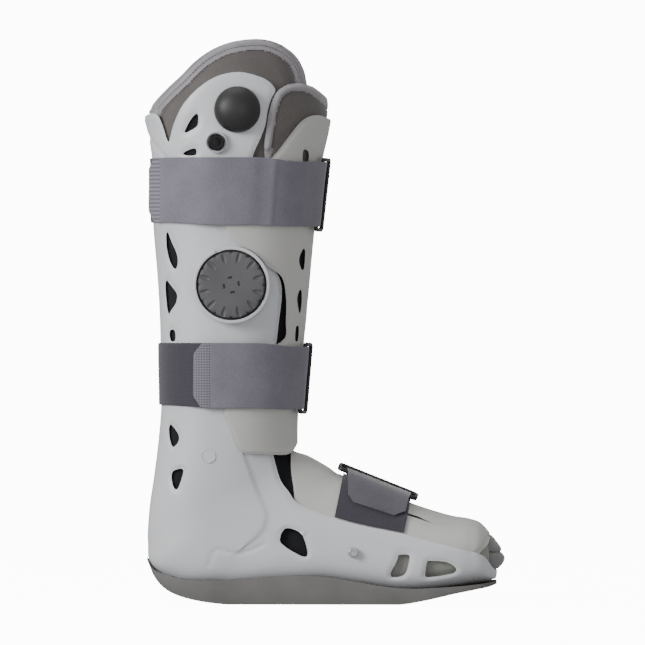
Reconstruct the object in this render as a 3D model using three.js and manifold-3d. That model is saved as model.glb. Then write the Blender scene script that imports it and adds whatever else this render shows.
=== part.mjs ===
// A walking boot for a hurt ankle: a rear shell that carries the heel and the sides of the foot,
// a front shell over the shin, a padded liner and three straps. Millimetres, +Z up, toe towards +X.
// The origin lies on the floor, straight under the axis of the shin.
import * as THREE from 'three'
import { mergeVertices } from 'three/addons/utils/BufferGeometryUtils.js'
import Module from 'manifold-3d'

const wasm = await Module()
wasm.setup()

// Driving sizes of the boot
const soleLength = 272
const ankleHeight = 126
const legHeight = 260
const legDepth = 130
const calfWidth = 126
const footWidth = 114

// Walls, layers and clearances
const clearance = 0.35
const rearWall = 3
const frontWall = 2.8
const panelWall = 2.4
const linerThickness = 6
const flapThickness = 2.6
const strapThickness = 1.6
const ringThickness = 3
const soleLip = 1.2

// Near-side fittings
const bulbRadius = 18.2
const bulbRise = 15
const valveRadius = 8.5
const buttonRadius = 6.6
const buttonTravel = 2
const dialRadius = 26.3
const dialThickness = 6.5
const dialFlutes = 12
const seatRadius = 30.5
const rivetRadius = 4

const ringSteps = 24
const cavitySteps = 16
const far = 400

// One row per section, from the collar down the leg, round the heel and out to the toe.
// The lengths are shares: of the leg's depth and height, or of the sole's length and the
// ankle's height. half is a share of the width. front and back are how square each half is.
// foot is 1 for the rows of the foot, and pull says how far a layer's offset shortens the toe.
const legRow = (frontX, backX, z, half, front, back) => ({
  front: [frontX * legDepth, ankleHeight + z * legHeight],
  back: [backX * legDepth, ankleHeight + z * legHeight],
  half: half * calfWidth, frontPower: front, backPower: back, foot: 0, pull: 0
})
const footRow = (frontX, frontZ, backX, backZ, half, front, back, pull = 0) => ({
  front: [frontX * soleLength, frontZ * ankleHeight],
  back: [backX * soleLength, backZ * ankleHeight],
  half: half * footWidth, frontPower: front, backPower: back, foot: 1, pull
})
const sections = [
  legRow(0.54, -0.53, 1.25, 0.49, 2.1, 2.3),
  legRow(0.565, -0.56, 1.0, 0.5, 2.1, 2.3),
  legRow(0.55, -0.535, 0.953, 0.5, 2.1, 2.3),
  legRow(0.51, -0.505, 0.865, 0.5, 2.1, 2.3),
  legRow(0.462, -0.497, 0.658, 0.485, 2.1, 2.3),
  legRow(0.435, -0.473, 0.515, 0.47, 2.1, 2.3),
  legRow(0.412, -0.458, 0.388, 0.452, 2.1, 2.3),
  legRow(0.385, -0.452, 0.246, 0.43, 2.1, 2.3),
  legRow(0.362, -0.45, 0.104, 0.413, 2.1, 2.3),
  footRow(0.171, 1.016, -0.223, 1.016, 0.45, 2.1, 2.3),
  footRow(0.18, 0.968, -0.235, 0.807, 0.44, 2.1, 2.4),
  footRow(0.199, 0.952, -0.25, 0.571, 0.43, 2.1, 2.4),
  footRow(0.221, 0.94, -0.2535, 0.381, 0.42, 2.1, 2.5),
  footRow(0.246, 0.913, -0.243, 0.222, 0.42, 2.1, 2.7),
  footRow(0.276, 0.877, -0.184, 0.135, 0.425, 2.1, 3),
  footRow(0.305, 0.837, -0.055, 0.095, 0.43, 2.1, 3.3),
  footRow(0.342, 0.802, 0.11, 0.107, 0.44, 2.1, 3.4),
  footRow(0.397, 0.754, 0.257, 0.119, 0.455, 2.1, 3.4),
  footRow(0.471, 0.69, 0.379, 0.091, 0.475, 2.1, 3.4),
  footRow(0.551, 0.627, 0.489, 0.064, 0.495, 2.1, 3.4),
  footRow(0.636, 0.575, 0.596, 0.083, 0.5, 2.1, 3.4, 0.2),
  footRow(0.691, 0.556, 0.669, 0.111, 0.475, 2.1, 3.4, 0.5),
  footRow(0.728, 0.524, 0.724, 0.135, 0.42, 2.1, 3.4, 0.8),
  footRow(0.756, 0.46, 0.756, 0.155, 0.3, 2.1, 3.2, 1)
]

const leg = ([x, z]) => [x * legDepth, ankleHeight + z * legHeight]
const foot = ([x, z]) => [x * soleLength, z * ankleHeight]
const signedPower = (value, power) => Math.sign(value) * Math.abs(value) ** power
const smooth = t => {
  const s = Math.min(1, Math.max(0, t))
  return s * s * (3 - 2 * s)
}

// A point of a section at an angle: 0 is the front or the top, half a turn is the back or the sole.
function sectionPoint(row, angle, offset) {
  const power = 2 / (Math.cos(angle) >= 0 ? row.frontPower : row.backPower)
  const along = signedPower(Math.cos(angle), power)
  const across = signedPower(Math.sin(angle), power)
  const [dx, dz] = [(row.front[0] - row.back[0]) / 2, (row.front[1] - row.back[1]) / 2]
  const reach = Math.hypot(dx, dz)
  const share = (reach - offset) / reach
  const x = (row.front[0] + row.back[0]) / 2 + dx * share * along - row.pull * offset
  const z = (row.front[1] + row.back[1]) / 2 + dz * share * along
  return new THREE.Vector3(x, (row.half - offset) * across, z)
}

// Turns a closed geometry into a solid with its faces pointing out.
function solid(geometry) {
  const bare = geometry.clone()
  for (const name of Object.keys(bare.attributes)) if (name !== 'position') bare.deleteAttribute(name)
  const merged = mergeVertices(bare, 1e-4)
  const spot = merged.attributes.position
  const index = merged.index.array
  const corner = i => new THREE.Vector3().fromBufferAttribute(spot, index[i])
  let volume = 0
  for (let i = 0; i < index.length; i += 3) volume += corner(i).dot(corner(i + 1).cross(corner(i + 2)))
  const triVerts = []
  for (let i = 0; i < index.length; i += 3) {
    const [a, b, c] = [index[i], index[i + 1], index[i + 2]]
    if (a === b || b === c || c === a) continue
    if (volume > 0) triVerts.push(a, b, c)
    else triVerts.push(a, c, b)
  }
  return new wasm.Manifold(new wasm.Mesh({
    numProp: 3, vertProperties: new Float32Array(spot.array), triVerts: new Uint32Array(triVerts)
  }))
}

// The solid that a layer's surface encloses. offset is a length inwards, or a function of
// the row and the angle.
function layer(offset, rows = sections, steps = ringSteps) {
  const inset = typeof offset === 'function' ? offset : () => offset
  const points = []
  const faces = []
  for (const row of rows) {
    for (let i = 0; i < steps; i++) {
      const angle = i / steps * 2 * Math.PI
      points.push(...sectionPoint(row, angle, inset(row, angle)).toArray())
    }
  }
  for (let r = 0; r + 1 < rows.length; r++) {
    for (let i = 0; i < steps; i++) {
      const next = (i + 1) % steps
      const [a, b] = [r * steps + i, r * steps + next]
      faces.push(a, b, a + steps, b, b + steps, a + steps)
    }
  }
  const last = (rows.length - 1) * steps
  for (let i = 1; i + 1 < steps; i++) {
    faces.push(0, i + 1, i)
    faces.push(last, last + i, last + i + 1)
  }
  const geometry = new THREE.BufferGeometry()
  geometry.setAttribute('position', new THREE.Float32BufferAttribute(points, 3))
  geometry.setIndex(faces)
  return solid(geometry)
}

// A prism of a side-view outline, from one side of the boot to the other.
function sidePrism(outline, from = -far, to = far) {
  const shape = new THREE.Shape(outline.map(([x, z]) => new THREE.Vector2(x, z)))
  const geometry = new THREE.ExtrudeGeometry(shape, { depth: to - from, bevelEnabled: false })
  geometry.rotateX(Math.PI / 2)
  geometry.translate(0, to, 0)
  return solid(geometry)
}

// A prism of a plan-view outline.
function planPrism(outline) {
  const shape = new THREE.Shape(outline.map(([x, y]) => new THREE.Vector2(x, y)))
  const geometry = new THREE.ExtrudeGeometry(shape, { depth: 2 * far, bevelEnabled: false })
  geometry.translate(0, 0, -far)
  return solid(geometry)
}

function block(x0, x1, y0, y1, z0, z1) {
  const geometry = new THREE.BoxGeometry(x1 - x0, y1 - y0, z1 - z0)
  geometry.translate((x0 + x1) / 2, (y0 + y1) / 2, (z0 + z1) / 2)
  return solid(geometry)
}

// A turned piece on an axis that runs across the boot; profile points are [radius, y].
// A profile that stays off the axis is closed on itself.
function turned(profile, [x, z], steps = 20) {
  const closed = profile[0][0] > 0 ? [...profile, profile[0]] : profile
  const geometry = new THREE.LatheGeometry(closed.map(([r, y]) => new THREE.Vector2(r, y)), steps)
  geometry.translate(x, 0, z)
  return solid(geometry)
}

const boot = new THREE.Group()
function piece(name, body, color, roughness, metalness = 0) {
  const mesh = body.getMesh()
  const geometry = new THREE.BufferGeometry()
  geometry.setAttribute('position', new THREE.Float32BufferAttribute(mesh.vertProperties, 3))
  geometry.setIndex(Array.from(mesh.triVerts))
  geometry.computeVertexNormals()
  const part = new THREE.Mesh(geometry, new THREE.MeshStandardMaterial({ color, roughness, metalness }))
  part.name = name
  boot.add(part)
}
const shellWhite = 0xc4c6c8
const padGrey = 0x8a888a
const strapMauve = 0x87858f
const darkCloth = 0x26262a
const black = 0x161618

// Side-view outlines and windows
const rearTop = [
  [-0.9, 0.965], [-0.583, 0.965], [-0.559, 0.986], [-0.51, 1.001], [-0.468, 0.995], [-0.431, 0.962],
  [-0.401, 0.916], [-0.392, 0.919], [-0.371, 0.962], [-0.31, 1.026], [-0.213, 1.077], [-0.103, 1.111],
  [0.024, 1.123], [0.14, 1.105], [0.21, 1.065], [0.185, 1.007], [0.155, 0.959], [0.13, 0.913],
  [0.091, 0.868], [0.067, 0.74], [0.091, 0.618], [0.201, 0.551], [0.273, 0.5], [0.286, 0.454],
  [0.267, 0.369], [0.255, 0.315], [0.237, 0.254], [0.225, 0.132], [0.225, 0.011]
].map(leg)
const rearEdge = [
  [0.113, 0.934], [0.119, 0.868], [0.135, 0.765], [0.157, 0.702], [0.177, 0.64], [0.232, 0.583],
  [0.293, 0.536], [0.363, 0.495], [0.479, 0.445], [0.555, 0.401], [0.636, 0.357], [0.706, 0.32],
  [0.723, 0.301], [0.755, 0.213], [0.8, 0.2]
].map(foot)
const rearOutline = [...rearTop, ...rearEdge, ...[[0.8, -0.2], [-0.43, -0.2]].map(foot)]
const frontOutline = [
  [0.668, 0.986], [0.589, 0.984], [0.51, 0.995], [0.444, 0.989], [0.395, 0.971], [0.322, 0.925],
  [0.231, 0.868], [0.03, 0.785], [-0.079, 0.694], [-0.049, 0.649], [-0.006, 0.615], [0.085, 0.576],
  [0.213, 0.533], [0.292, 0.5], [0.31, 0.433], [0.31, 0.369], [0.304, 0.321], [0.164, 0.278],
  [-0.018, 0.208], [-0.079, 0.138], [-0.067, 0.102], [-0.024, 0.044], [0.036, -0.021],
  [0.128, -0.029], [0.237, -0.032], [0.334, -0.029], [0.38, 0], [0.42, 0.104], [0.668, 0.6]
].map(leg)
const rearWindows = [
  ...[
    [[-0.407, 0.64], [-0.383, 0.615], [-0.346, 0.573], [-0.346, 0.539], [-0.359, 0.526], [-0.401, 0.568], [-0.413, 0.597]],
    [[-0.419, 0.5], [-0.383, 0.479], [-0.346, 0.454], [-0.352, 0.427], [-0.383, 0.406], [-0.401, 0.39], [-0.416, 0.439]],
    [[-0.304, 0.937], [-0.286, 0.962], [-0.252, 0.989], [-0.219, 1.001], [-0.219, 0.965], [-0.234, 0.956]],
    [[-0.316, 0.874], [-0.292, 0.886], [-0.231, 0.895], [-0.231, 0.871]],
    [[-0.395, 0.345], [-0.359, 0.345], [-0.359, 0.311], [-0.389, 0.311]]
  ].map(outline => outline.map(leg)),
  ...[
    [[-0.192, 1.129], [-0.163, 1.072], [-0.16, 1.016], [-0.183, 0.972]],
    [[-0.186, 0.824], [-0.148, 0.853], [-0.151, 0.79], [-0.171, 0.696]],
    [[0.134, 0.445], [0.151, 0.483], [0.192, 0.445], [0.206, 0.382], [0.212, 0.301], [0.192, 0.301], [0.131, 0.382]],
    [[0.473, 0.313], [0.505, 0.313], [0.505, 0.276], [0.492, 0.182], [0.453, 0.169], [0.45, 0.198], [0.471, 0.285]],
    [[0.561, 0.276], [0.613, 0.27], [0.642, 0.226], [0.633, 0.194], [0.555, 0.169], [0.549, 0.188], [0.555, 0.27]]
  ].map(outline => outline.map(foot))
]
const frontWindows = [
  [[0.413, 0.892], [0.45, 0.886], [0.444, 0.849], [0.413, 0.843]],
  [[0.425, 0.597], [0.395, 0.573], [0.389, 0.548], [0.413, 0.521], [0.425, 0.551]],
  [[0.401, 0.473], [0.377, 0.445], [0.383, 0.415], [0.395, 0.39], [0.407, 0.436]],
  [[0.371, 0.357], [0.389, 0.357], [0.383, 0.311], [0.365, 0.311]]
].map(outline => outline.map(leg))

// Where the near-side fittings sit, on the same shares as the shell
const [bulbSpot] = [[0.018, 1.01]].map(leg)
const [valveSpot] = [[-0.109, 0.911]].map(leg)
const [dialSpot] = [[-0.018, 0.481]].map(leg)
const [rivetSpot] = [[0.343, 0.326]].map(foot)

// The rear shell, with its foot tray
const shellSurface = layer(0)
const shellBed = layer(-clearance)
let rearShell = shellSurface.subtract(layer(rearWall)).intersect(sidePrism(rearOutline))
for (const window of rearWindows) rearShell = rearShell.subtract(sidePrism(window))
piece('rear_shell', rearShell, shellWhite, 0.45)

// The front shell overlaps the rear shell outside and clears the dial's seat.
const legRows = sections.slice(0, 15)
const frontInner = layer(-clearance, legRows)
const frontOuter = layer(-clearance - frontWall, legRows)
const seatHole = turned([[0, -far], [seatRadius + 2 * clearance, -far], [seatRadius + 2 * clearance, 0], [0, 0]], dialSpot, 32)
let frontShell = frontOuter.subtract(frontInner).intersect(sidePrism(frontOutline)).subtract(seatHole)
for (const window of frontWindows) frontShell = frontShell.subtract(sidePrism(window))
piece('front_shell', frontShell, shellWhite, 0.45)

// The instep panel, tucked inside the foot's side walls
const panelTop = rearWall + clearance
const panelUnder = panelTop + panelWall
const panelOutline = [
  [0.163, 1.0], [0.163, 0.834], [0.17, 0.734], [0.18, 0.583], [0.293, 0.47], [0.479, 0.376],
  [0.636, 0.295], [0.694, 0.282], [0.712, 0.332], [0.732, 0.373], [0.746, 0.445], [0.787, 0.508],
  [0.787, 1.0]
].map(foot)
const panel = layer(panelTop).subtract(layer(panelUnder)).intersect(sidePrism(panelOutline))
piece('foot_panel', panel, 0xcfcecc, 0.5)

// The sole's plan follows the lowest stretch of the shell, with a small lip outside it.
function planHull(points) {
  const sorted = [...points].sort((p, q) => p[0] - q[0] || p[1] - q[1])
  const turn = (o, p, q) => (p[0] - o[0]) * (q[1] - o[1]) - (p[1] - o[1]) * (q[0] - o[0])
  const half = list => {
    const chain = []
    for (const p of list) {
      while (chain.length > 1 && turn(chain.at(-2), chain.at(-1), p) <= 0.5) chain.pop()
      chain.push(p)
    }
    return chain.slice(0, -1)
  }
  return [...half(sorted), ...half(sorted.reverse())]
}
const soleTop = [
  [-0.28, 0.295], [-0.253, 0.27], [-0.232, 0.213], [-0.195, 0.182], [-0.134, 0.15], [-0.052, 0.15],
  [0.049, 0.163], [0.131, 0.176], [0.253, 0.176], [0.351, 0.144], [0.433, 0.113], [0.514, 0.1],
  [0.595, 0.107], [0.677, 0.119], [0.79, 0.15]
]
const soleUnder = [
  [0.79, 0.14], [0.758, 0.122], [0.636, 0.069], [0.555, 0.028], [0.476, 0], [-0.02, 0], [-0.05, 0.008],
  [-0.113, 0.025], [-0.174, 0.063], [-0.215, 0.119], [-0.28, 0.2]
]
const lowPoints = []
for (const row of sections) {
  for (let i = 0; i < ringSteps; i++) {
    const point = sectionPoint(row, i / ringSteps * 2 * Math.PI, -soleLip)
    if (point.z < ankleHeight / 3) lowPoints.push([point.x, point.y])
  }
}
const sole = sidePrism([...soleTop, ...soleUnder].map(foot)).intersect(planPrism(planHull(lowPoints)))
piece('sole', sole.subtract(shellBed), 0x8f8d8c, 0.8)

// The liner lies against the rear shell in the leg and against the instep panel in the foot.
const underPanel = (row, angle) => row.foot * smooth((Math.cos(angle) + 0.75) * 4)
const linerGap = (row, angle) => THREE.MathUtils.lerp(panelTop, panelUnder + clearance, underPanel(row, angle))
const collarRise = 0.03
const collarOutline = [
  [-0.9, -0.6], [-0.9, 0.995], [-0.517, 1.013], [-0.498, 1.026], [-0.322, 1.114], [-0.14, 1.19],
  [-0.018, 1.214], [0.122, 1.223], [0.28, 1.208], [0.371, 1.174], [0.419, 1.133], [0.438, 1.06],
  [0.7, 1.0], [0.7, -0.6]
].map(leg)
const cavityRows = sections.filter((row, i) => i % 2 === 0 || i === sections.length - 1)
const cavityGap = (row, angle) => linerGap(row, angle) + linerThickness
const linerCavity = layer(cavityGap, cavityRows, cavitySteps)
const linerSkin = layer(linerGap)
const collarSplit = ankleHeight + legHeight * (0.7 + collarRise)
const linerWall = linerSkin.subtract(linerCavity)
const legTrim = sidePrism(collarOutline)
const upperZone = block(-far, far, -far, far, collarSplit, far * 2)
const lowerZone = block(-far, far, -far, far, -far, collarSplit - clearance)
piece('liner_collar', linerWall.intersect(legTrim).intersect(upperZone), padGrey, 0.95)
const toeSide = [
  [0.7, 0.325], [0.724, 0.325], [0.738, 0.375], [0.751, 0.445], [0.76, 0.43], [0.775, 0.385],
  [0.784, 0.34], [0.786, 0.29], [0.777, 0.25], [0.768, 0.228], [0.762, 0.228], [0.732, 0.305],
  [0.7, 0.305]
].map(foot)
const toePlan = [
  [0.7, -0.24], [0.755, -0.22], [0.775, -0.15], [0.79, 0], [0.775, 0.15], [0.755, 0.22], [0.7, 0.24]
].map(([x, y]) => [x * soleLength, y * footWidth])
const toeRoll = sidePrism(toeSide).intersect(planPrism(toePlan)).subtract(linerCavity)
piece('liner_boot', linerWall.intersect(lowerZone).add(toeRoll), darkCloth, 0.95)

// The front flap of the liner, between the two shells, in front of the dome
const flapOutline = [
  [0.2, 0.72], [0.187, 0.868], [0.178, 0.905], [0.196, 0.962], [0.224, 1.026], [0.252, 1.062],
  [0.322, 1.083], [0.401, 1.089], [0.501, 1.074], [0.596, 1.035], [0.7, 1.01], [0.7, 0.72]
].map(leg)
piece('liner_flap', shellSurface.subtract(layer(flapThickness)).intersect(sidePrism(flapOutline)), padGrey, 0.95)

// The section at a height of the leg, and where its near side lies at a side-view spot
function rowAt(z) {
  const upper = sections.findLastIndex(row => row.front[1] === row.back[1] && row.front[1] >= z)
  const [top, low] = [sections[upper], sections[upper + 1]]
  const t = (top.front[1] - z) / (top.front[1] - low.front[1])
  const mix = (a, b) => THREE.MathUtils.lerp(a, b, t)
  return {
    ...top, front: [mix(top.front[0], low.front[0]), z], back: [mix(top.back[0], low.back[0]), z],
    half: mix(top.half, low.half)
  }
}
function nearSide([x, z]) {
  const row = rowAt(z)
  const along = Math.abs(x - (row.front[0] + row.back[0]) / 2) / ((row.front[0] - row.back[0]) / 2)
  const cosine = along ** (row.frontPower / 2)
  return -row.half * Math.sqrt(1 - cosine ** 2) ** (2 / row.frontPower)
}

// The inflation bulb, a turned dome on the shell
const bulbY = nearSide(bulbSpot)
const bulbProfile = [[0, bulbY + rearWall], [bulbRadius, bulbY + rearWall], [bulbRadius, bulbY - rearWall]]
for (let i = 1; i <= 6; i++) {
  const angle = i / 6 * Math.PI / 2
  bulbProfile.push([bulbRadius * Math.cos(angle), bulbY - rearWall - (bulbRise - rearWall) * Math.sin(angle)])
}
bulbProfile.at(-1)[0] = 0
piece('bulb', turned(bulbProfile, bulbSpot).subtract(shellBed), black, 0.35)

// The release valve: a collar on the shell and a button that slides in it
const valveY = nearSide(valveSpot)
const boreRadius = buttonRadius + clearance
const collarFace = valveY - rearWall - 1.5
const valveCollar = turned([
  [boreRadius, valveY + rearWall], [valveRadius, valveY + rearWall], [valveRadius, collarFace], [boreRadius, collarFace]
], valveSpot)
piece('valve_collar', valveCollar.add(turned([
  [0, valveY + rearWall], [valveRadius, valveY + rearWall], [valveRadius, valveY - 1], [0, valveY - 1]
], valveSpot)).subtract(shellBed), shellWhite, 0.4)
const buttonSeat = valveY - 1 - buttonTravel - clearance
const buttonFace = collarFace - buttonTravel - 0.5
piece('valve_button', turned([
  [0, buttonSeat], [buttonRadius, buttonSeat], [buttonRadius, buttonFace + 1], [buttonRadius - 1, buttonFace], [0, buttonFace]
], valveSpot), black, 0.25)

// The dial on its seat: a plate with a rim and a bore for the dial's stem
const dialY = nearSide(dialSpot)
const seatFace = dialY - 5
const rimRadius = dialRadius + 1.5
const rimFace = seatFace - 3
const stemRadius = 4
const seatProfile = [
  [stemRadius + clearance, dialY + 8], [seatRadius, dialY + 8], [seatRadius, rimFace], [rimRadius, rimFace],
  [rimRadius, seatFace], [stemRadius + clearance, seatFace]
]
piece('dial_seat', turned(seatProfile, dialSpot, 32).subtract(shellBed), shellWhite, 0.4)
const dialBack = seatFace - clearance
const dialFace = dialBack - dialThickness
const dialOutline = new THREE.Shape()
for (let i = 0; i < dialFlutes * 4; i++) {
  const angle = i / (dialFlutes * 4) * 2 * Math.PI
  const radius = dialRadius - (i % 4 === 0 ? 1.2 : 0)
  const [x, z] = [dialSpot[0] + radius * Math.cos(angle), dialSpot[1] + radius * Math.sin(angle)]
  if (i === 0) dialOutline.moveTo(x, z)
  else dialOutline.lineTo(x, z)
}
const dialDisc = sidePrism(dialOutline.getPoints(), dialFace, dialBack)
const stem = turned([[0, dialBack - 1], [stemRadius, dialBack - 1], [stemRadius, dialBack + 3], [0, dialBack + 3]], dialSpot)
piece('dial', dialDisc.add(stem), 0x66656a, 0.5)

// A rivet head on each side wall of the foot
for (const [name, side] of [['rivet_near', -1], ['rivet_far', 1]]) {
  const face = side * footWidth / 2
  const head = turned([[0, 0.5 * face], [rivetRadius, 0.5 * face], [rivetRadius, face], [0, face + side]], rivetSpot, 16)
  piece(name, head.subtract(shellBed), 0x9a9a9c, 0.35, 0.6)
}

// A strap lies on the shell at the back and on the front shell further forward. It runs from the
// far side round the back to the ring at the front, through it, and back over itself.
const onFrontShell = clearance + frontWall + clearance
const legStrapBed = (row, angle) => -THREE.MathUtils.lerp(clearance, onFrontShell, smooth((Math.cos(angle) + 0.6) * 2.5))
const foldY = 15
const ringGap = clearance + ringThickness + 1.6
const strapPitch = strapThickness + clearance
// The over-layer rises where it passes the ring's bar, on the near side of the front.
const nearAngle = angle => {
  const back = (2 * Math.PI - angle) % (2 * Math.PI)
  return Math.min(back, Math.PI)
}
const risenBy = angle => ringGap * smooth((0.95 - nearAngle(angle)) / 0.4)
function strapSolids(bed, rows, risen, fold, underZones, overZones, outline) {
  const under = (row, angle) => bed(row, angle) - strapThickness
  const overIn = (row, angle) => bed(row, angle) - strapPitch - risen(angle)
  const overOut = (row, angle) => overIn(row, angle) - strapThickness
  const inner = layer(bed, rows)
  const trim = sidePrism(outline)
  const cutTo = (body, zones) => zones.map(zone => body.intersect(zone)).reduce((a, b) => a.add(b))
  const lower = layer(under, rows).subtract(inner).intersect(trim)
  const upper = layer(overOut, rows).subtract(layer(overIn, rows)).intersect(trim)
  const link = layer(overOut, rows).subtract(inner).intersect(trim).intersect(fold)
  return { band: lower, strap: cutTo(lower, underZones).add(cutTo(upper, overZones)).add(link) }
}

// A flat frame whose opening takes the strap; long runs across the strap, wide along it.
function ringFrame(centre, long, outward, opening, width) {
  const [h, w] = [opening / 2 + ringThickness, width / 2]
  const shape = new THREE.Shape([[-w, -h + 2], [-w + 2, -h], [w - 2, -h], [w, -h + 2], [w, h - 2], [w - 2, h], [-w + 2, h], [-w, h - 2]]
    .map(([x, y]) => new THREE.Vector2(x, y)))
  const [hi, wi] = [opening / 2, width / 2 - ringThickness]
  shape.holes.push(new THREE.Path([[-wi, -hi], [-wi, hi], [wi, hi], [wi, -hi]].map(([x, y]) => new THREE.Vector2(x, y))))
  const geometry = new THREE.ExtrudeGeometry(shape, { depth: ringThickness, bevelEnabled: false })
  const wide = new THREE.Vector3().crossVectors(long, outward).normalize()
  const normal = new THREE.Vector3().crossVectors(wide, long).normalize()
  geometry.applyMatrix4(new THREE.Matrix4().makeBasis(wide, long, normal).setPosition(centre))
  return solid(geometry)
}

const ringWidth = 18
const ringAngle = -0.19
function legStrap(name, top, bottom, tabX, color) {
  const rows = legRows
  const [ringTop, ringLow] = [top - 0.012, bottom - 0.004]
  const outline = [
    [-0.9, top], [0.1, top], [0.36, ringTop], [0.9, ringTop], [0.9, ringLow], [0.36, ringLow],
    [-0.05, bottom], [-0.9, bottom + 0.009]
  ].map(leg)
  const fold = block(0, far, -foldY - strapThickness, -foldY, -far, far)
  const underZones = [block(-far, clearance, -far, far, -far, 2 * far), block(0, far, -far, -foldY, -far, 2 * far)]
  const overZones = [block(tabX * legDepth, far, -far, -foldY, -far, 2 * far)]
  const { band, strap } = strapSolids(legStrapBed, rows, risenBy, fold, underZones, overZones, outline)
  piece('strap_' + name, strap, color, 0.9)
  const anchor = band.intersect(block(2 * clearance, far, -foldY / 2, far, -far, 2 * far))
  piece('anchor_' + name, anchor, color, 0.9)
  const [zTop, zLow] = [leg([0, ringTop])[1], leg([0, ringLow])[1]]
  const lift = -onFrontShell - strapPitch
  const [upper, lower] = [zTop, zLow].map(z => sectionPoint(rowAt(z), ringAngle, lift))
  const middle = sectionPoint(rowAt((zTop + zLow) / 2), ringAngle, lift)
  const beside = sectionPoint(rowAt((zTop + zLow) / 2), ringAngle - 0.05, lift)
  const long = upper.clone().sub(lower).normalize()
  const outward = new THREE.Vector3().crossVectors(middle.clone().sub(beside), long).normalize()
  if (outward.x < 0) outward.negate()
  piece('ring_' + name, ringFrame(middle, long, outward, upper.distanceTo(lower) + 4 * clearance, ringWidth), black, 0.35)
}
legStrap('upper', 0.866, 0.662, -0.46, strapMauve)
legStrap('lower', 0.306, 0.109, -0.237, strapMauve)

// The foot strap crosses the instep panel; its ring lies along the top of the foot.
const footStrapBed = () => panelTop - clearance
const footFoldY = 2.5
const footRingWidth = 17
const footOutline = [[0.319, 0.86], [0.514, 0.7], [0.479, 0.35], [0.276, 0.41]].map(foot)
const footRows = sections.slice(9)
const footRisen = angle => ringGap * smooth((0.8 - nearAngle(angle)) / 0.4)
const strapOpening = rearOutline.map(([x, z]) => [x, z + 3 * clearance])
const footFold = block(0, far, -footFoldY - strapThickness, -footFoldY, 0, far)
const overEnd = [[0.3, 0.95], [0.56, 0.8], [0.502, 0.655], [0.494, 0.583], [0.459, 0.558], [0.343, 0.64], [0.328, 0.69], [0.3, 0.75]].map(foot)
const footStrap = strapSolids(
  footStrapBed, footRows, footRisen, footFold,
  [block(0, far, -far, -footFoldY, 0, far)],
  [block(0, far, -far, -footFoldY, 0, far).intersect(sidePrism(overEnd))], footOutline
)
piece('strap_foot', footStrap.strap.subtract(sidePrism(strapOpening)), strapMauve, 0.9)
const footAnchor = footStrap.band.intersect(block(0, far, -footFoldY / 2, far, 0, far))
piece('anchor_foot', footAnchor.subtract(sidePrism(strapOpening)), strapMauve, 0.9)
const instepHeight = x => {
  const next = footRows.findIndex(row => row.front[0] > x)
  const [from, to] = [footRows[next - 1].front, footRows[next].front]
  return THREE.MathUtils.mapLinear(x, from[0], to[0], from[1], to[1])
}
const footRingEnds = [0.3115, 0.5125].map(share => share * soleLength)
  .map(x => new THREE.Vector3(x, 0, instepHeight(x)))
const footRingLong = footRingEnds[0].clone().sub(footRingEnds[1])
const footRingOut = new THREE.Vector3(-footRingLong.z, 0, footRingLong.x).normalize()
if (footRingOut.z < 0) footRingOut.negate()
const footRingMiddle = footRingEnds[0].clone().add(footRingEnds[1]).multiplyScalar(0.5)
  .addScaledVector(footRingOut, strapPitch + clearance - footStrapBed())
piece('ring_foot', ringFrame(footRingMiddle, footRingLong.clone().normalize(), footRingOut,
  footRingLong.length() + 8 * clearance, footRingWidth), black, 0.35)

export default boot
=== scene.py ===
import math

import bmesh
import bpy
import numpy as np
from mathutils import Matrix, Vector


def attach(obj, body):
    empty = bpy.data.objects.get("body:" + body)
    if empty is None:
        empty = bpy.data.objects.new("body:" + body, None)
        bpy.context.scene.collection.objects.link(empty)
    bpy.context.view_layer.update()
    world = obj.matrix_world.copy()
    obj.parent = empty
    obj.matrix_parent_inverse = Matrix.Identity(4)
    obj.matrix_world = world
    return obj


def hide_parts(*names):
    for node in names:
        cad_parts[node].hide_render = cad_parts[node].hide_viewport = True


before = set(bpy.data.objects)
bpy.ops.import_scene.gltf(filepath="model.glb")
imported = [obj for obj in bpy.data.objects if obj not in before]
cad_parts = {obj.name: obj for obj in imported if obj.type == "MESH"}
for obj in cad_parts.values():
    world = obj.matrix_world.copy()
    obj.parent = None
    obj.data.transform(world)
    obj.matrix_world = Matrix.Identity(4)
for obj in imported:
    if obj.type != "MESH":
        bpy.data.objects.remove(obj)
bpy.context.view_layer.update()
print("frame loaded")

mm = 0.001
boot = dict(soleLength=272, ankleHeight=126, legHeight=260, legDepth=130, calfWidth=126, footWidth=114)
walls = dict(gap=0.35, rear=3.0, front=2.8, panel=2.4, liner=6.0, flap=2.6, strap=1.6)


def level(share):  # a height of the leg, in millimetres
    return boot["ankleHeight"] + share * boot["legHeight"]


def leg(points):  # shares of the leg's depth and height, to millimetres
    return [(x * boot["legDepth"], level(z)) for x, z in points]


def foot(points):  # shares of the sole's length and the ankle's height, to millimetres
    return [(x * boot["soleLength"], z * boot["ankleHeight"]) for x, z in points]


# Sections from the collar down: front x, back x, height and half width
legRows = [
    (0.54, -0.53, 1.25, 0.49), (0.565, -0.56, 1.0, 0.5), (0.55, -0.535, 0.953, 0.5),
    (0.51, -0.505, 0.865, 0.5), (0.462, -0.497, 0.658, 0.485), (0.435, -0.473, 0.515, 0.47),
    (0.412, -0.458, 0.388, 0.452), (0.385, -0.452, 0.246, 0.43), (0.362, -0.45, 0.104, 0.413),
]
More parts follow.
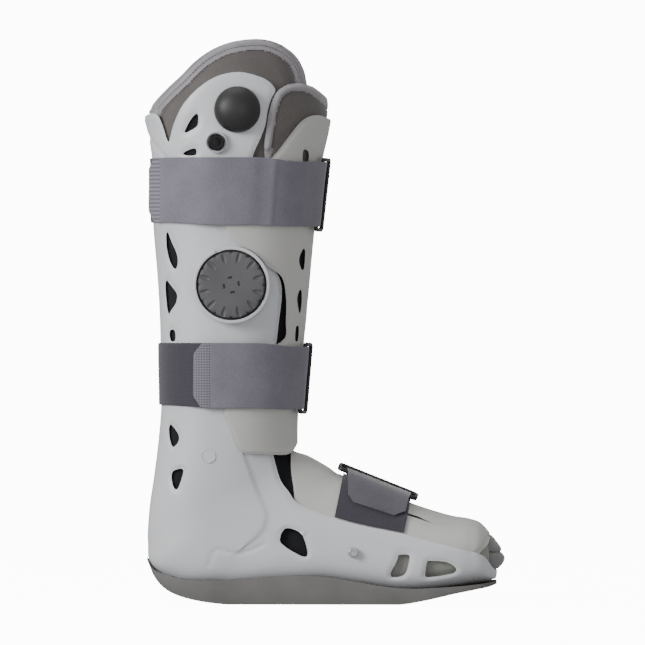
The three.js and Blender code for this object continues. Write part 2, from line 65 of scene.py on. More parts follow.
# Sections from the ankle to the toe: front x, z, back x, z, half width, squareness at the back, toe pull
footRows = [
    (0.171, 1.016, -0.223, 1.016, 0.45, 2.3, 0), (0.18, 0.968, -0.235, 0.807, 0.44, 2.4, 0),
    (0.199, 0.952, -0.25, 0.571, 0.43, 2.4, 0), (0.221, 0.94, -0.2535, 0.381, 0.42, 2.5, 0),
    (0.246, 0.913, -0.243, 0.222, 0.42, 2.7, 0), (0.276, 0.877, -0.184, 0.135, 0.425, 3, 0),
    (0.305, 0.837, -0.055, 0.095, 0.43, 3.3, 0), (0.342, 0.802, 0.11, 0.107, 0.44, 3.4, 0),
    (0.397, 0.754, 0.257, 0.119, 0.455, 3.4, 0), (0.471, 0.69, 0.379, 0.091, 0.475, 3.4, 0),
    (0.551, 0.627, 0.489, 0.064, 0.495, 3.4, 0), (0.636, 0.575, 0.596, 0.083, 0.5, 3.4, 0.2),
    (0.691, 0.556, 0.669, 0.111, 0.475, 3.4, 0.5), (0.728, 0.524, 0.724, 0.135, 0.42, 3.4, 0.8),
    (0.756, 0.46, 0.756, 0.155, 0.3, 3.2, 1),
]
squareness = dict(front=2.1, legBack=2.3)
wayWeights = dict(reach=0.35, tilt=55)  # what a change of reach or tilt adds to the way


def sectionTable():
    rows = []
    for frontX, backX, z, half in legRows:
        (fx, fz), (bx, bz) = leg([(frontX, z), (backX, z)])
        shape = (squareness["front"], squareness["legBack"], 0, 0)
        rows.append((fx, fz, bx, bz, half * boot["calfWidth"], *shape))
    for frontX, frontZ, backX, backZ, half, square, pull in footRows:
        (fx, fz), (bx, bz) = foot([(frontX, frontZ), (backX, backZ)])
        rows.append((fx, fz, bx, bz, half * boot["footWidth"], squareness["front"], square, pull, 1))
    return np.array(rows)


def curveWeights(t):  # of a curve's start, the slope there, its end and the slope there
    return 2 * t**3 - 3 * t**2 + 1, t**3 - 2 * t**2 + t, 3 * t**2 - 2 * t**3, t**3 - t**2


def smoothTable(table, stations):  # cubic through every row, at shares of the path's length
    middle = (table[:, 0:2] + table[:, 2:4]) / 2
    reach = np.hypot(*(table[:, 0:2] - table[:, 2:4]).T)
    step = np.hypot(*np.diff(middle, axis=0).T) + wayWeights["reach"] * np.abs(np.diff(reach))
    tilt = np.unwrap(np.arctan2(table[:, 1] - table[:, 3], table[:, 0] - table[:, 2]))
    step += wayWeights["tilt"] * np.abs(np.diff(tilt))
    along = np.concatenate([[0], np.cumsum(step)])
    slope = np.gradient(table, along, axis=0)
    at = np.asarray(stations) * along[-1]
    low = np.clip(np.searchsorted(along, at, side="right") - 1, 0, len(along) - 2)
    span = along[low + 1] - along[low]
    weights = curveWeights(((at - along[low]) / span)[:, None])
    span = span[:, None]
    value = weights[0] * table[low] + weights[1] * span * slope[low]
    return value + weights[2] * table[low + 1] + weights[3] * span * slope[low + 1]


sections = sectionTable()


def bent(value, power):  # a power that keeps the sign
    return np.sign(value) * np.abs(value) ** power


def lengthAlong(line):  # the way along a line to each of its points
    return np.concatenate([[0], np.cumsum(np.linalg.norm(np.diff(line, axis=0), axis=1))])


def pickAlong(at, steps, values):  # rows of values, read at places between the steps
    return np.stack([np.interp(at, steps, column) for column in np.asarray(values).T], axis=-1)


def sectionPoints(rows, angles, offset):  # rows down, angles across; offset is one value or a grid
    cos, sin = np.cos(angles)[None, :], np.sin(angles)[None, :]
    power = np.where(cos >= 0, 2 / rows[:, 5:6], 2 / rows[:, 6:7])
    along, across = bent(cos, power), bent(sin, power)
    half = (rows[:, 0:2] - rows[:, 2:4]) / 2
    middle = (rows[:, 0:2] + rows[:, 2:4]) / 2
    reach = np.hypot(half[:, 0:1], half[:, 1:2])
    share = (reach - offset) / reach * along
    x = middle[:, 0:1] + half[:, 0:1] * share - rows[:, 7:8] * offset
    z = middle[:, 1:2] + half[:, 1:2] * share
    return np.stack([x, (rows[:, 4:5] - offset) * across, z], axis=-1)


def smoothLine(points, steps, closed=False):  # a curve through the points
    pts = np.array(points, float)
    if closed:
        pts = np.vstack([pts[-1], pts, pts[0], pts[1]])
    else:
        pts = np.vstack([2 * pts[0] - pts[1], pts, 2 * pts[-1] - pts[-2]])
    out = []
    for a, b, c, d in zip(pts, pts[1:], pts[2:], pts[3:]):
        near, mid, last = (max(np.hypot(*(q - p)), 1e-3) ** 0.5 for p, q in ((a, b), (b, c), (c, d)))
        m1 = (c - b) + mid * ((b - a) / near - (c - a) / (near + mid))
        m2 = (c - b) + mid * ((d - c) / last - (d - b) / (mid + last))
        for t in np.arange(steps) / steps:
            weights = curveWeights(t)
            out.append(weights[0] * b + weights[1] * m1 + weights[2] * c + weights[3] * m2)
    if not closed:
        out.append(pts[-2])
    return np.array(out)


def distanceTo(points, line, closed):  # from points in the side view to a line, in millimetres
    line = np.asarray(line)
    ends = np.roll(line, -1, axis=0) if closed else line[1:]
    starts = line if closed else line[:-1]
    flat = points.reshape(-1, 2)
    best = np.full(len(flat), 1e9)
    for start, end in zip(starts, ends):
        run = end - start
        size = max(run @ run, 1e-9)
        share = np.clip((flat - start) @ run / size, 0, 1)
        best = np.minimum(best, np.hypot(*(flat - start - share[:, None] * run).T))
    return best.reshape(points.shape[:-1])


def ease(value):
    value = np.clip(value, 0, 1)
    return value * value * (3 - 2 * value)


def showMesh(name, bm):
    mesh = bpy.data.meshes.new(name)
    bm.to_mesh(mesh)
    bm.free()
    piece = bpy.data.objects.new(name, mesh)
    bpy.context.scene.collection.objects.link(piece)
    return piece


def applyAll(piece):  # bakes the modifiers into the mesh
    graph = bpy.context.evaluated_depsgraph_get()
    done = bpy.data.meshes.new_from_object(piece.evaluated_get(graph))
    piece.modifiers.clear()
    old = piece.data
    piece.data = done
    bpy.data.meshes.remove(old)


def combine(piece, tool, operation="DIFFERENCE"):
    step = piece.modifiers.new("combine", "BOOLEAN")
    step.solver, step.operation, step.object = "MANIFOLD", operation, tool
    applyAll(piece)
    bpy.data.objects.remove(tool)
    return piece


def smoothShade(piece, angle=35):
    piece.data.shade_smooth()
    piece.data.set_sharp_from_angle(angle=math.radians(angle))


def rounded(piece, width=0.5, angle=45):  # breaks the edges sharper than an angle
    step = piece.modifiers.new("rounding", "BEVEL")
    step.width, step.segments = width * mm, 2
    step.limit_method, step.angle_limit = "ANGLE", math.radians(angle)
    applyAll(piece)
    smoothShade(piece, 50)
    return piece


# A grid rolled into a form; place gives the points in mm for shares of its columns and rows
def gridForm(name, columns, rows, place, caps=True):
    bm = bmesh.new()
    bmesh.ops.create_grid(bm, x_segments=columns, y_segments=rows, size=1)
    seat = np.array([vert.co[:2] for vert in bm.verts])
    i = np.rint((seat[:, 0] + 1) / 2 * columns).astype(int)
    j = np.rint((seat[:, 1] + 1) / 2 * rows).astype(int)
    points = place(np.arange(columns + 1) / columns, np.arange(rows + 1) / rows) * mm
    rowShare = bm.verts.layers.float.new("rowShare")
    for vert, spot, row in zip(bm.verts, points[j, i], j):
        vert.co = spot
        vert[rowShare] = row / rows
    bmesh.ops.remove_doubles(bm, verts=bm.verts, dist=1e-6)
    if caps:
        bmesh.ops.holes_fill(bm, edges=[e for e in bm.edges if e.is_boundary], sides=0)
    bmesh.ops.recalc_face_normals(bm, faces=bm.faces)
    return showMesh(name, bm)


noseForm = dict(rows=10, narrow=0.55)


# A layer of the sections between two shares of the path, with a round nose at the toe where it has one
def loft(name, inset, start, end, steps, rows, nose=0.0):
    noseRows = noseForm["rows"] if nose else 0

    def place(columns, shares):
        body = len(shares) - noseRows
        table = smoothTable(sections, start + (end - start) * np.arange(body) / (body - 1))
        angles = columns * 2 * math.pi
        offset = inset(table, angles) if callable(inset) else inset
        points = sectionPoints(table, angles, offset)
        if noseRows:
            last, middle = points[-1], points[-1].mean(axis=0)
            for a in np.linspace(0, math.pi / 2, noseRows + 1)[1:]:
                ring = middle + (last - middle) * (1 - noseForm["narrow"] * (1 - math.cos(a)))
                points = np.concatenate([points, [ring + [nose * math.sin(a), 0, 0]]])
        return points

    return gridForm(name, steps, rows + noseRows, place)


def prism(name, corners, way):  # a face through the corners, pushed along a way
    bm = bmesh.new()
    face = bm.faces.new([bm.verts.new((x * mm, y * mm, z * mm)) for x, y, z in corners])
    moved = bmesh.ops.extrude_face_region(bm, geom=[face])
    tops = [part for part in moved["geom"] if isinstance(part, bmesh.types.BMVert)]
    bmesh.ops.translate(bm, verts=tops, vec=[part * mm for part in way])
    bmesh.ops.recalc_face_normals(bm, faces=bm.faces)
    return showMesh(name, bm)


def sidePrism(name, line, low=-200, high=200):  # from an outline in the side view
    return prism(name, [(x, low, z) for x, z in line], (0, high - low, 0))


def slab(name, low, high, front):  # all between two heights, behind a front
    return sidePrism(name, [(-200, low), (front, low), (front, high), (-200, high)])


def joined(name, pieces):
    bm = bmesh.new()
    for piece in pieces:
        bm.from_mesh(piece.data)
        bpy.data.objects.remove(piece)
    return showMesh(name, bm)


# A wall between two insets, trimmed to its side outline and pierced by its windows
def shell(
        name, outer, inner, outline, windows,
        start=0.0, end=1.0, fine=(240, 300), rough=(96, 130), nose=0.0):
    piece = loft(name, outer, start, end, *fine, nose=nose)
    combine(piece, loft("core", inner, start, end, *rough, nose=nose))
    combine(piece, sidePrism("trim", outline), "INTERSECT")
    if windows:
        combine(piece, joined("holes", [sidePrism("hole", line) for line in windows]))
    smoothShade(piece)
    return piece


def sideSpots(table, angles):  # where an unshifted surface point lies in the side view
    return sectionPoints(table, angles, 0)[..., [0, 2]]


def nearLine(spots, line, reach, closed=False):  # 1 on a line, falling to 0 at its reach
    return 1 - ease(distanceTo(spots, line, closed) / reach)


# An inset that rounds the edge and sinks in round the windows
def rolledEdges(line, windows, roll=1.1, reach=2.2, chamfer=1.5, spread=3.2):
    def inset(table, angles):
        spots = sideSpots(table, angles)
        drop = roll * nearLine(spots, line, reach, closed=True)
        for window in windows:
            drop = np.maximum(drop, chamfer * nearLine(spots, window, spread, closed=True))
        return drop
    return inset


# Materials: a wrapper for a socket, and one for a material's nodes
class Wire:
    def __init__(self, tree, socket):
        self.tree, self.socket = tree, socket

    def math(self, operation, first, second):
        node = self.tree.nodes.new("ShaderNodeMath")
        node.operation = operation
        plug(self.tree, node.inputs[0], first)
        plug(self.tree, node.inputs[1], second)
        return Wire(self.tree, node.outputs[0])

    def __add__(self, other):
        return self.math("ADD", self, other)

    def __mul__(self, other):
        return self.math("MULTIPLY", self, other)

    __radd__ = __add__
    __rmul__ = __mul__


def plug(tree, place, value):
    if isinstance(value, Wire):
        tree.links.new(value.socket, place)
    else:
        place.default_value = value


class Finish:
    def __init__(self, name, color, roughness, **fixed):
        self.material = bpy.data.materials.new(name)
        self.material.use_nodes = True
        self.tree = self.material.node_tree
        self.shader = self.tree.nodes["Principled BSDF"]
        self.color = (*color, 1)
        self.set("Base Color", self.color)
        self.set("Roughness", roughness)
        for key, value in fixed.items():
            self.set(key.replace("_", " "), value)

    def set(self, place, value):
        plug(self.tree, self.shader.inputs[place], value)

    def node(self, kind, settings=None, out=0, **values):
        node = self.tree.nodes.new("ShaderNode" + kind)
        for key, value in (settings or {}).items():
            setattr(node, key, value)
        for key, value in values.items():
            spot = int(key[1:]) if key[0] == "i" and key[1:].isdigit() else key.replace("_", " ")
            plug(self.tree, node.inputs[spot], value)
        return Wire(self.tree, node.outputs[out])

    def place(self, scale=(1, 1, 1)):  # object coordinates, stretched by scale
        spot = self.node("TexCoord", out=3)
        return self.node("Mapping", Vector=spot, Scale=scale)

    def noise(self, scale, detail=2.0, stretch=(1, 1, 1), roughness=0.5):
        spot = self.place(stretch)
        return self.node("TexNoise", Vector=spot, Scale=scale, Detail=detail, Roughness=roughness)

    def shade(self, amount, low, high, darker=0.85, lighter=1.1):  # varies the tone of the color
        mask = self.node("MapRange", i0=amount, i1=low, i2=high)
        dark = tuple(c * darker for c in self.color[:3]) + (1,)
        light = tuple(c * lighter for c in self.color[:3]) + (1,)
        self.set("Base Color", self.node("Mix", {"data_type": "RGBA"}, out=2, i0=mask, i6=dark, i7=light))

    def bump(self, height, strength, distance):
        self.set("Normal", self.node("Bump", Height=height, Strength=strength, Distance=distance * mm))


def mouldedPlastic(name, color):
    finish = Finish(name, color, 0.42, Specular_IOR_Level=0.45)
    finish.shade(finish.noise(9, 3), 0.35, 0.7, 0.95, 1.04)
    finish.set("Roughness", finish.noise(45, 4) * 0.14 + 0.35)
    finish.bump(finish.noise(1400, 2) + 0.3 * finish.noise(260, 2), 0.12, 0.12)
    return finish.material


def brushedCloth(name, color, grain=1500, sheen=0.35, stretch=(1, 1, 1)):
    finish = Finish(name, color, 0.92, Sheen_Weight=sheen, Sheen_Roughness=0.45, Specular_IOR_Level=0.2)
    fine = finish.noise(grain, 3, stretch, 0.65)
    broad = finish.noise(38, 3)
    finish.shade(0.62 * fine + 0.38 * broad, 0.33, 0.67, 0.8, 1.16)
    finish.bump(fine + 0.8 * finish.noise(grain / 3.2, 2, stretch), 0.5, 0.45)
    return finish.material


def rubber(name, color, roughness=0.72):
    finish = Finish(name, color, roughness, Specular_IOR_Level=0.35)
    finish.shade(finish.noise(26, 4), 0.35, 0.68, 0.88, 1.1)
    finish.set("Roughness", finish.noise(90, 3) * 0.2 + (roughness - 0.1))
    finish.bump(finish.noise(900, 3), 0.3, 0.2)
    return finish.material


def ribbedClothPaintedShade(name, color, period, depth, crossed=False):  # ribs one above the other, or a grid, with painted shade in the grooves and painted highlight on the crests
    finish = Finish(name, color, 0.9, Sheen_Weight=0.3, Sheen_Roughness=0.45, Specular_IOR_Level=0.2)
    spot = finish.node("TexCoord", out=3)

    def wave(axis):
        turn = finish.node("SeparateXYZ", out=axis, Vector=spot) * (2 * math.pi / (period * mm))
        return 0.5 + 0.5 * finish.node("Math", {"operation": "SINE"}, i0=turn)

    height = wave(2) * wave(0) if crossed else wave(2)
    fine = finish.noise(1500, 3)
    # painted shade in the grooves and painted highlight on the crests; depth sets how dark the grooves are
    # painted
    finish.shade(0.75 * height + 0.3 * fine, 0.1, 0.9, 1 - depth, 1.25)
    finish.bump(height + 0.5 * fine, 0.5, 0.4)
    return finish.material


def hardGloss(name, color, roughness, specular=0.5, metallic=0.0):
    finish = Finish(name, color, roughness, Specular_IOR_Level=specular, Metallic=metallic)
    finish.set("Roughness", finish.noise(120, 3) * 0.12 + (roughness - 0.06))
    finish.bump(finish.noise(800, 2), 0.08, 0.1)
    return finish.material


finishes = {
    "shell": mouldedPlastic("coolWhiteShell", (0.6, 0.612, 0.63)),
    "warmShell": mouldedPlastic("warmWhiteShell", (0.51, 0.508, 0.485)),
    "pad": brushedCloth("greyPadCloth", (0.125, 0.115, 0.111)),
    "binding": brushedCloth("greyBinding", (0.32, 0.307, 0.325), stretch=(1, 1, 1.6)),
    "thread": brushedCloth("seamThread", (0.075, 0.072, 0.085), sheen=0.1),
    "liner": brushedCloth("darkLinerCloth", (0.012, 0.012, 0.015), sheen=0.08),
    "footLiner": brushedCloth("footLinerCloth", (0.3, 0.3, 0.275)),
    "toe": brushedCloth("toeLinerCloth", (0.24, 0.232, 0.238)),
    "strap": brushedCloth("mauveStrap", (0.185, 0.176, 0.215), grain=1900, stretch=(1, 1, 0.35)),
    # the strap fabric again, darkened as painted shade for the foot strap's flap
    "footStrap": brushedCloth("footStrapClothPaintedShade", (0.105, 0.1, 0.12), grain=1900, stretch=(0.35, 0.35, 1)),
    # the three ribbed cloths below carry painted shade in their grooves and painted highlight on their crests
    "tabLines": ribbedClothPaintedShade("tabLines", (0.2, 0.19, 0.23), 3.1, depth=0.35),
    "tabGrid": ribbedClothPaintedShade("tabGrid", (0.225, 0.215, 0.255), 2.1, crossed=True, depth=0.45),
    "strapPile": ribbedClothPaintedShade("strapPile", (0.058, 0.053, 0.068), 1.35, crossed=True, depth=0.2),
    "sole": rubber("greySole", (0.135, 0.132, 0.128)),
    "bulb": hardGloss("satinBulb", (0.016, 0.016, 0.017), 0.5),
    "button": hardGloss("glossButton", (0.004, 0.004, 0.005), 0.22, specular=0.2),
    "dial": rubber("dialGrey", (0.095, 0.093, 0.101), 0.5),
    # near-black finish for the floor of the gap round the dial, a painted shadow
    "dark": hardGloss("gapPaintedShadow", (0.02, 0.02, 0.022), 0.6),
    "ring": hardGloss("ringBlack", (0.012, 0.012, 0.013), 0.35),
    "rivet": hardGloss("rivetMetal", (0.42, 0.42, 0.43), 0.35, metallic=0.8),
}
print("finishes made")


# One finish, the slot, the body and the solids that the piece stands for
def dress(piece, finish, body="root", replaces=()):
    piece.data.materials.clear()
    piece.data.materials.append(finishes[finish])
    for face in piece.data.polygons:
        face.material_index = 0
    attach(piece, body)
    if replaces:
        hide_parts(*replaces)
    return piece


# Side outlines, in shares
rearTop = leg([
    (-0.9, 0.968), (-0.585, 0.968), (-0.57, 0.984), (-0.51, 1.001), (-0.468, 0.995), (-0.435, 0.962),
    (-0.412, 0.925), (-0.4, 0.914), (-0.39, 0.925), (-0.371, 0.962), (-0.31, 1.026), (-0.213, 1.077),
    (-0.103, 1.111), (0.024, 1.123), (0.13, 1.113), (0.2, 1.098), (0.246, 1.07), (0.224, 1.045),
    (0.202, 1.01), (0.186, 0.962), (0.158, 0.925), (0.11, 0.868), (0.067, 0.74), (0.091, 0.618),
    (0.201, 0.551), (0.273, 0.5), (0.286, 0.454), (0.267, 0.369), (0.255, 0.315), (0.237, 0.254),
    (0.225, 0.132),
])
rearEdge = foot([
    (0.109, 0.98), (0.119, 0.868), (0.135, 0.765), (0.157, 0.702), (0.177, 0.64), (0.232, 0.583),
    (0.293, 0.536), (0.363, 0.495), (0.479, 0.445), (0.555, 0.401), (0.636, 0.357), (0.7, 0.322),
    (0.723, 0.298), (0.755, 0.213), (0.8, 0.2),
])
rearLine = np.vstack([smoothLine(rearTop + rearEdge, 4), foot([(0.8, -0.2), (-0.43, -0.2)])])
rearEdgeLine = smoothLine(rearTop[1:] + rearEdge[:-1], 3)
frontLine = smoothLine(leg([
    (0.668, 0.988), (0.589, 0.984), (0.51, 0.995), (0.444, 0.989), (0.395, 0.971), (0.322, 0.925),
    (0.231, 0.868), (0.03, 0.785), (-0.079, 0.694), (-0.049, 0.649), (-0.006, 0.615), (0.085, 0.576),
    (0.213, 0.533), (0.285, 0.505), (0.31, 0.45), (0.31, 0.369), (0.304, 0.321), (0.164, 0.278),
    (-0.018, 0.208), (-0.079, 0.138), (-0.067, 0.102), (-0.024, 0.044), (0.02, -0.012), (0.06, -0.026),
    (0.128, -0.029), (0.237, -0.032), (0.334, -0.029), (0.38, 0.0), (0.42, 0.104), (0.668, 0.6),
]), 4)
windows = dict(
    rearLeg=[leg(line) for line in [
        [(-0.412, 0.648), (-0.383, 0.615), (-0.346, 0.573), (-0.342, 0.545), (-0.359, 0.526),
         (-0.392, 0.552), (-0.413, 0.597)],
        [(-0.419, 0.5), (-0.383, 0.479), (-0.346, 0.454), (-0.352, 0.427), (-0.383, 0.406),
         (-0.401, 0.39), (-0.416, 0.439)],
        [(-0.304, 0.937), (-0.286, 0.962), (-0.252, 0.989), (-0.219, 1.001), (-0.219, 0.965),
         (-0.234, 0.956)],
        [(-0.316, 0.874), (-0.292, 0.886), (-0.231, 0.895), (-0.231, 0.871)],
        [(-0.395, 0.345), (-0.359, 0.345), (-0.359, 0.311), (-0.389, 0.311)],
    ]],
    rearFoot=[foot(line) for line in [
        [(-0.192, 1.135), (-0.163, 1.072), (-0.16, 1.016), (-0.183, 0.972)],
        [(-0.186, 0.824), (-0.148, 0.853), (-0.151, 0.79), (-0.171, 0.696)],
        [(0.134, 0.445), (0.151, 0.483), (0.192, 0.45), (0.206, 0.382), (0.212, 0.301),
         (0.192, 0.301), (0.131, 0.382)],
        [(0.473, 0.313), (0.505, 0.313), (0.505, 0.276), (0.492, 0.182), (0.453, 0.169),
         (0.45, 0.198), (0.471, 0.285)],
        [(0.561, 0.276), (0.613, 0.27), (0.642, 0.226), (0.633, 0.194), (0.555, 0.169),
         (0.549, 0.188), (0.555, 0.27)],
    ]],
    front=[leg(line) for line in [
        [(0.413, 0.892), (0.45, 0.886), (0.444, 0.849), (0.413, 0.843)],
        [(0.425, 0.597), (0.395, 0.573), (0.389, 0.548), (0.413, 0.521), (0.425, 0.551)],
        [(0.401, 0.473), (0.377, 0.445), (0.383, 0.415), (0.395, 0.39), (0.407, 0.436)],
        [(0.371, 0.357), (0.389, 0.357), (0.383, 0.311), (0.365, 0.311)],
    ]],
)


def roundedHole(line):  # corners softened by a curve through points beside each corner
    pts = np.array(line)
    soft = []
    for before, here, after in zip(np.roll(pts, 1, 0), pts, np.roll(pts, -1, 0)):
        soft += [here + (before - here) * 0.22, here + (after - here) * 0.22]
    return smoothLine(soft, 4, closed=True)


rearHoles = [roundedHole(line) for line in windows["rearLeg"] + windows["rearFoot"]]
frontHoles = [roundedHole(line) for line in windows["front"]]


# Rear shell with the foot tray
ankleRelief = dict(height=1.3, width=1.5, fade=26, groove=0.9, grooveReach=2.6)
ankleFront = smoothLine(foot([
    (0.029, 0.928), (0.049, 0.809), (0.078, 0.646), (0.088, 0.6), (0.0925, 0.552), (0.088, 0.5),
    (0.078, 0.451), (0.041, 0.382),
]), 4)
ankleLow = smoothLine(foot([
    (-0.076, 0.241), (-0.055, 0.339), (-0.023, 0.329), (0.017, 0.316), (0.049, 0.339), (0.084, 0.373),
]), 4)


def reliefAlong(spots, line, form):  # a step down over the line, which fades out away from it
    starts, ends = line[:-1], line[1:]
    flat = spots.reshape(-1, 2)
    middle = (starts + ends) / 2
    nearest = np.argmin(((flat[:, None, :] - middle[None]) ** 2).sum(-1), axis=1)
    run = (ends - starts)[nearest]
    away = flat - middle[nearest]
    side = np.sign(run[:, 0] * away[:, 1] - run[:, 1] * away[:, 0]).reshape(spots.shape[:-1])
    signed = distanceTo(spots, line, closed=False) * side
    step = ease((signed + form["width"]) / (2 * form["width"]))
    return form["height"] * step * (1 - ease(np.abs(signed) / form["fade"]))


rearRoll = rolledEdges(rearEdgeLine, rearHoles)


def rearOuter(table, angles):
    spots = sideSpots(table, angles)
    onSides = ease((np.abs(np.sin(angles)) - 0.25) * 3)[None, :]
    groove = ankleRelief["groove"] * nearLine(spots, ankleLow, ankleRelief["grooveReach"])
    return rearRoll(table, angles) + onSides * groove + onSides * reliefAlong(spots, ankleFront, ankleRelief)


rearShell = shell("rearShell", rearOuter, walls["rear"], rearLine, rearHoles, nose=1.5)
dress(rearShell, "shell", replaces=["rear_shell"])
print("rear shell made", len(rearShell.data.polygons))


# Front shin shell
frontRoll = rolledEdges(frontLine, frontHoles, roll=1.0, reach=1.8, chamfer=1.2, spread=2.4)
dialSpot = np.array(leg([(-0.018, 0.481)])[0])
seatHole = dict(radius=31.2, sides=64)


def frontOuter(table, angles):
    return frontRoll(table, angles) - walls["gap"] - walls["front"]


def disc(spot, radius, sides):  # a round hole's outline in the side view
    turn = np.arange(sides) / sides * 2 * math.pi
    return np.stack([spot[0] + radius * np.cos(turn), spot[1] + radius * np.sin(turn)], axis=1)


frontShell = shell(
    "frontShell", frontOuter, -walls["gap"], frontLine, frontHoles,
    end=0.62, fine=(240, 230), rough=(96, 100))
combine(frontShell, sidePrism("seatHole", disc(dialSpot, seatHole["radius"], seatHole["sides"]), -200, 0))
smoothShade(frontShell)
dress(frontShell, "warmShell", replaces=["front_shell"])
print("front shell made", len(frontShell.data.polygons))


# Instep panel, inside the side walls
panelTop = walls["rear"] + walls["gap"]
panelUnder = panelTop + walls["panel"]
panelLine = smoothLine(foot([
    (0.163, 1.0), (0.163, 0.834), (0.17, 0.734), (0.178, 0.6), (0.2, 0.53), (0.293, 0.475), (0.479, 0.38),
    (0.636, 0.298), (0.69, 0.285), (0.712, 0.332), (0.732, 0.373), (0.746, 0.445), (0.787, 0.508),
    (0.787, 1.0),
]), 4)
panelSlit = smoothLine(foot([(0.494, 0.565), (0.515, 0.552), (0.545, 0.536), (0.569, 0.512)]), 4)
panelSlot = smoothLine(foot([(0.2, 0.925), (0.235, 0.9), (0.27, 0.865), (0.305, 0.828)]), 4)
panelMarks = [  # depth, reach, line and whether it is closed
    (0.9, 2, panelLine, True), (0.5, 2.2, panelSlit, False), (0.8, 2.5, panelSlot, False),
]


def panelOuter(table, angles):
    spots = sideSpots(table, angles)
    marks = [depth * nearLine(spots, line, reach, closed) for depth, reach, line, closed in panelMarks]
    return panelTop + np.maximum.reduce(marks)


slitHole = [
    (130, 73.2), (134.1, 72.2), (144.6, 69.0), (156.7, 63.0), (144.6, 67.2), (134.1, 70.6), (130, 71.4),
]
footPanel = shell(
    "footPanel", panelOuter, panelUnder, panelLine, [slitHole],
    start=0.34, fine=(220, 230), rough=(80, 90), nose=1.0)
dress(footPanel, "warmShell", replaces=["foot_panel"])
print("instep panel made", len(footPanel.data.polygons))


# Rocker sole
def planHull(points):  # the outline round points in the plan, without its faintest corners
    pts = sorted(map(tuple, points))

    def chain(listed):
        out = []
        for p in listed:
            while len(out) > 1:
                (ax, ay), (bx, by) = out[-2], out[-1]
                if (bx - ax) * (p[1] - ay) - (by - ay) * (p[0] - ax) > 0.05:
                    break
                out.pop()
            out.append(p)
        return out[:-1]
    return np.array(chain(pts) + chain(pts[::-1]))


soleLip = 1.2
soleSide = np.vstack([
    smoothLine(foot([
        (-0.3, 0.4), (-0.256, 0.285), (-0.234, 0.216), (-0.195, 0.182), (-0.134, 0.155), (-0.052, 0.152),
        (0.049, 0.163), (0.131, 0.176), (0.253, 0.176), (0.351, 0.144), (0.433, 0.113), (0.514, 0.1),
        (0.595, 0.107), (0.677, 0.119), (0.79, 0.15),
    ]), 4),
    smoothLine(foot([
        (0.79, 0.135), (0.7, 0.095), (0.636, 0.068), (0.555, 0.028), (0.5, 0.006), (0.476, 0.0),
    ]), 4),
    smoothLine(foot([
        (-0.02, 0.0), (-0.05, 0.005), (-0.113, 0.025), (-0.168, 0.058), (-0.207, 0.105), (-0.233, 0.17),
        (-0.247, 0.235), (-0.27, 0.34),
    ]), 4),
])
footTable = smoothTable(sections, np.linspace(0.3, 1, 200))
lowForm = sectionPoints(footTable, np.linspace(0, 2 * math.pi, 181), -soleLip).reshape(-1, 3)
solePlan = smoothLine(planHull(lowForm[lowForm[:, 2] < boot["ankleHeight"] / 3][:, :2])[::3], 2, closed=True)


sole = prism("rockerSole", [(x, y, -60) for x, y in solePlan], (0, 0, 260))
combine(sole, sidePrism("soleSide", soleSide), "INTERSECT")
tread = dict(first=-48, last=190, pitch=12.5, foot=1.6, top=1.1, depth=1.4, reach=36)
grooves = []
for x in np.arange(tread["first"], tread["last"], tread["pitch"]):  # kept in from the rim
    base = max(0, (x - 125) * 0.19, (-10 - x) * 0.28)
    low = [(x - tread["foot"], base - 6), (x + tread["foot"], base - 6)]
    high = [(x + tread["top"], base + tread["depth"]), (x - tread["top"], base + tread["depth"])]
    grooves.append(sidePrism("groove", low + high, -tread["reach"], tread["reach"]))
combine(sole, joined("grooves", grooves))
rounded(sole, 0.5, 50)
combine(sole, loft("soleBed", -0.08, 0.3, 1.0, 160, 160, nose=1.5))
smoothShade(sole, 40)
dress(sole, "sole", replaces=["sole"])
print("sole made", len(sole.data.polygons))


# Finding points of the surface from a spot in the side view
denseTable = smoothTable(sections, np.linspace(0, 1, 1200))

legTable = denseTable[:int(np.argmin(denseTable[:, 3] > 120))][::-1]


def rowsAt(heights):  # rows of the leg at these heights of its back
    return pickAlong(heights, legTable[:, 3], legTable)


def legSpot(x, z, offset, side=-1):  # one side's surface over a spot in the side view, at an inset
    row = rowsAt([z])[0]
    middle, reach = (row[0] + row[2]) / 2, (row[0] - row[2]) / 2
    along = np.clip((x - middle) / (reach - offset), -1, 1)
    power = 2 / (row[5] if along >= 0 else row[6])
    cos = abs(along) ** (1 / power)
    return np.array([x, side * (row[4] - offset) * max(0, 1 - cos * cos) ** (power / 2), z])


thread = dict(length=2.2, gap=0.6, thick=0.55)


def stitches(name, lines):  # a row of short threads along each line
    bm = bmesh.new()
    length, thick = thread["length"], thread["thick"]
    for line in lines:
        along = lengthAlong(line)
        for at in np.arange(thread["gap"], along[-1] - length, length + thread["gap"]):
            start, end = pickAlong((at, at + length), along, line)
            turn = Vector(end - start).to_track_quat("Z", "Y").to_matrix().to_4x4()
            form = Matrix.Translation(Vector((start + end) / 2) * mm) @ turn
            form = form @ Matrix.Diagonal((thick * mm, thick * mm, length * mm, 1))
            bmesh.ops.create_icosphere(bm, subdivisions=1, radius=0.5, matrix=form)
    piece = showMesh(name, bm)
    smoothShade(piece, 80)
    return piece


# Padded collar: a bound edge, two seams and a soft wall between them
collar = dict(binding=5.2, seam=1.0, second=9.0, roll=2.6, puff=0.8, low=0.71)
sideWindows = dict(back=-42.5, front=-25, top=388)
collarTop = smoothLine(leg([
    (-0.9, 0.995), (-0.54, 1.003), (-0.515, 1.012), (-0.498, 1.028), (-0.42, 1.07), (-0.322, 1.115),
    (-0.24, 1.156), (-0.14, 1.191), (-0.018, 1.215), (0.122, 1.224), (0.21, 1.22), (0.29, 1.205),
    (0.371, 1.174), (0.419, 1.133), (0.438, 1.09), (0.45, 1.04), (0.56, 1.02), (0.8, 1.01),
]), 4)
collarLine = np.vstack([collarTop, leg([(0.8, 0.2), (-0.9, 0.2)])])


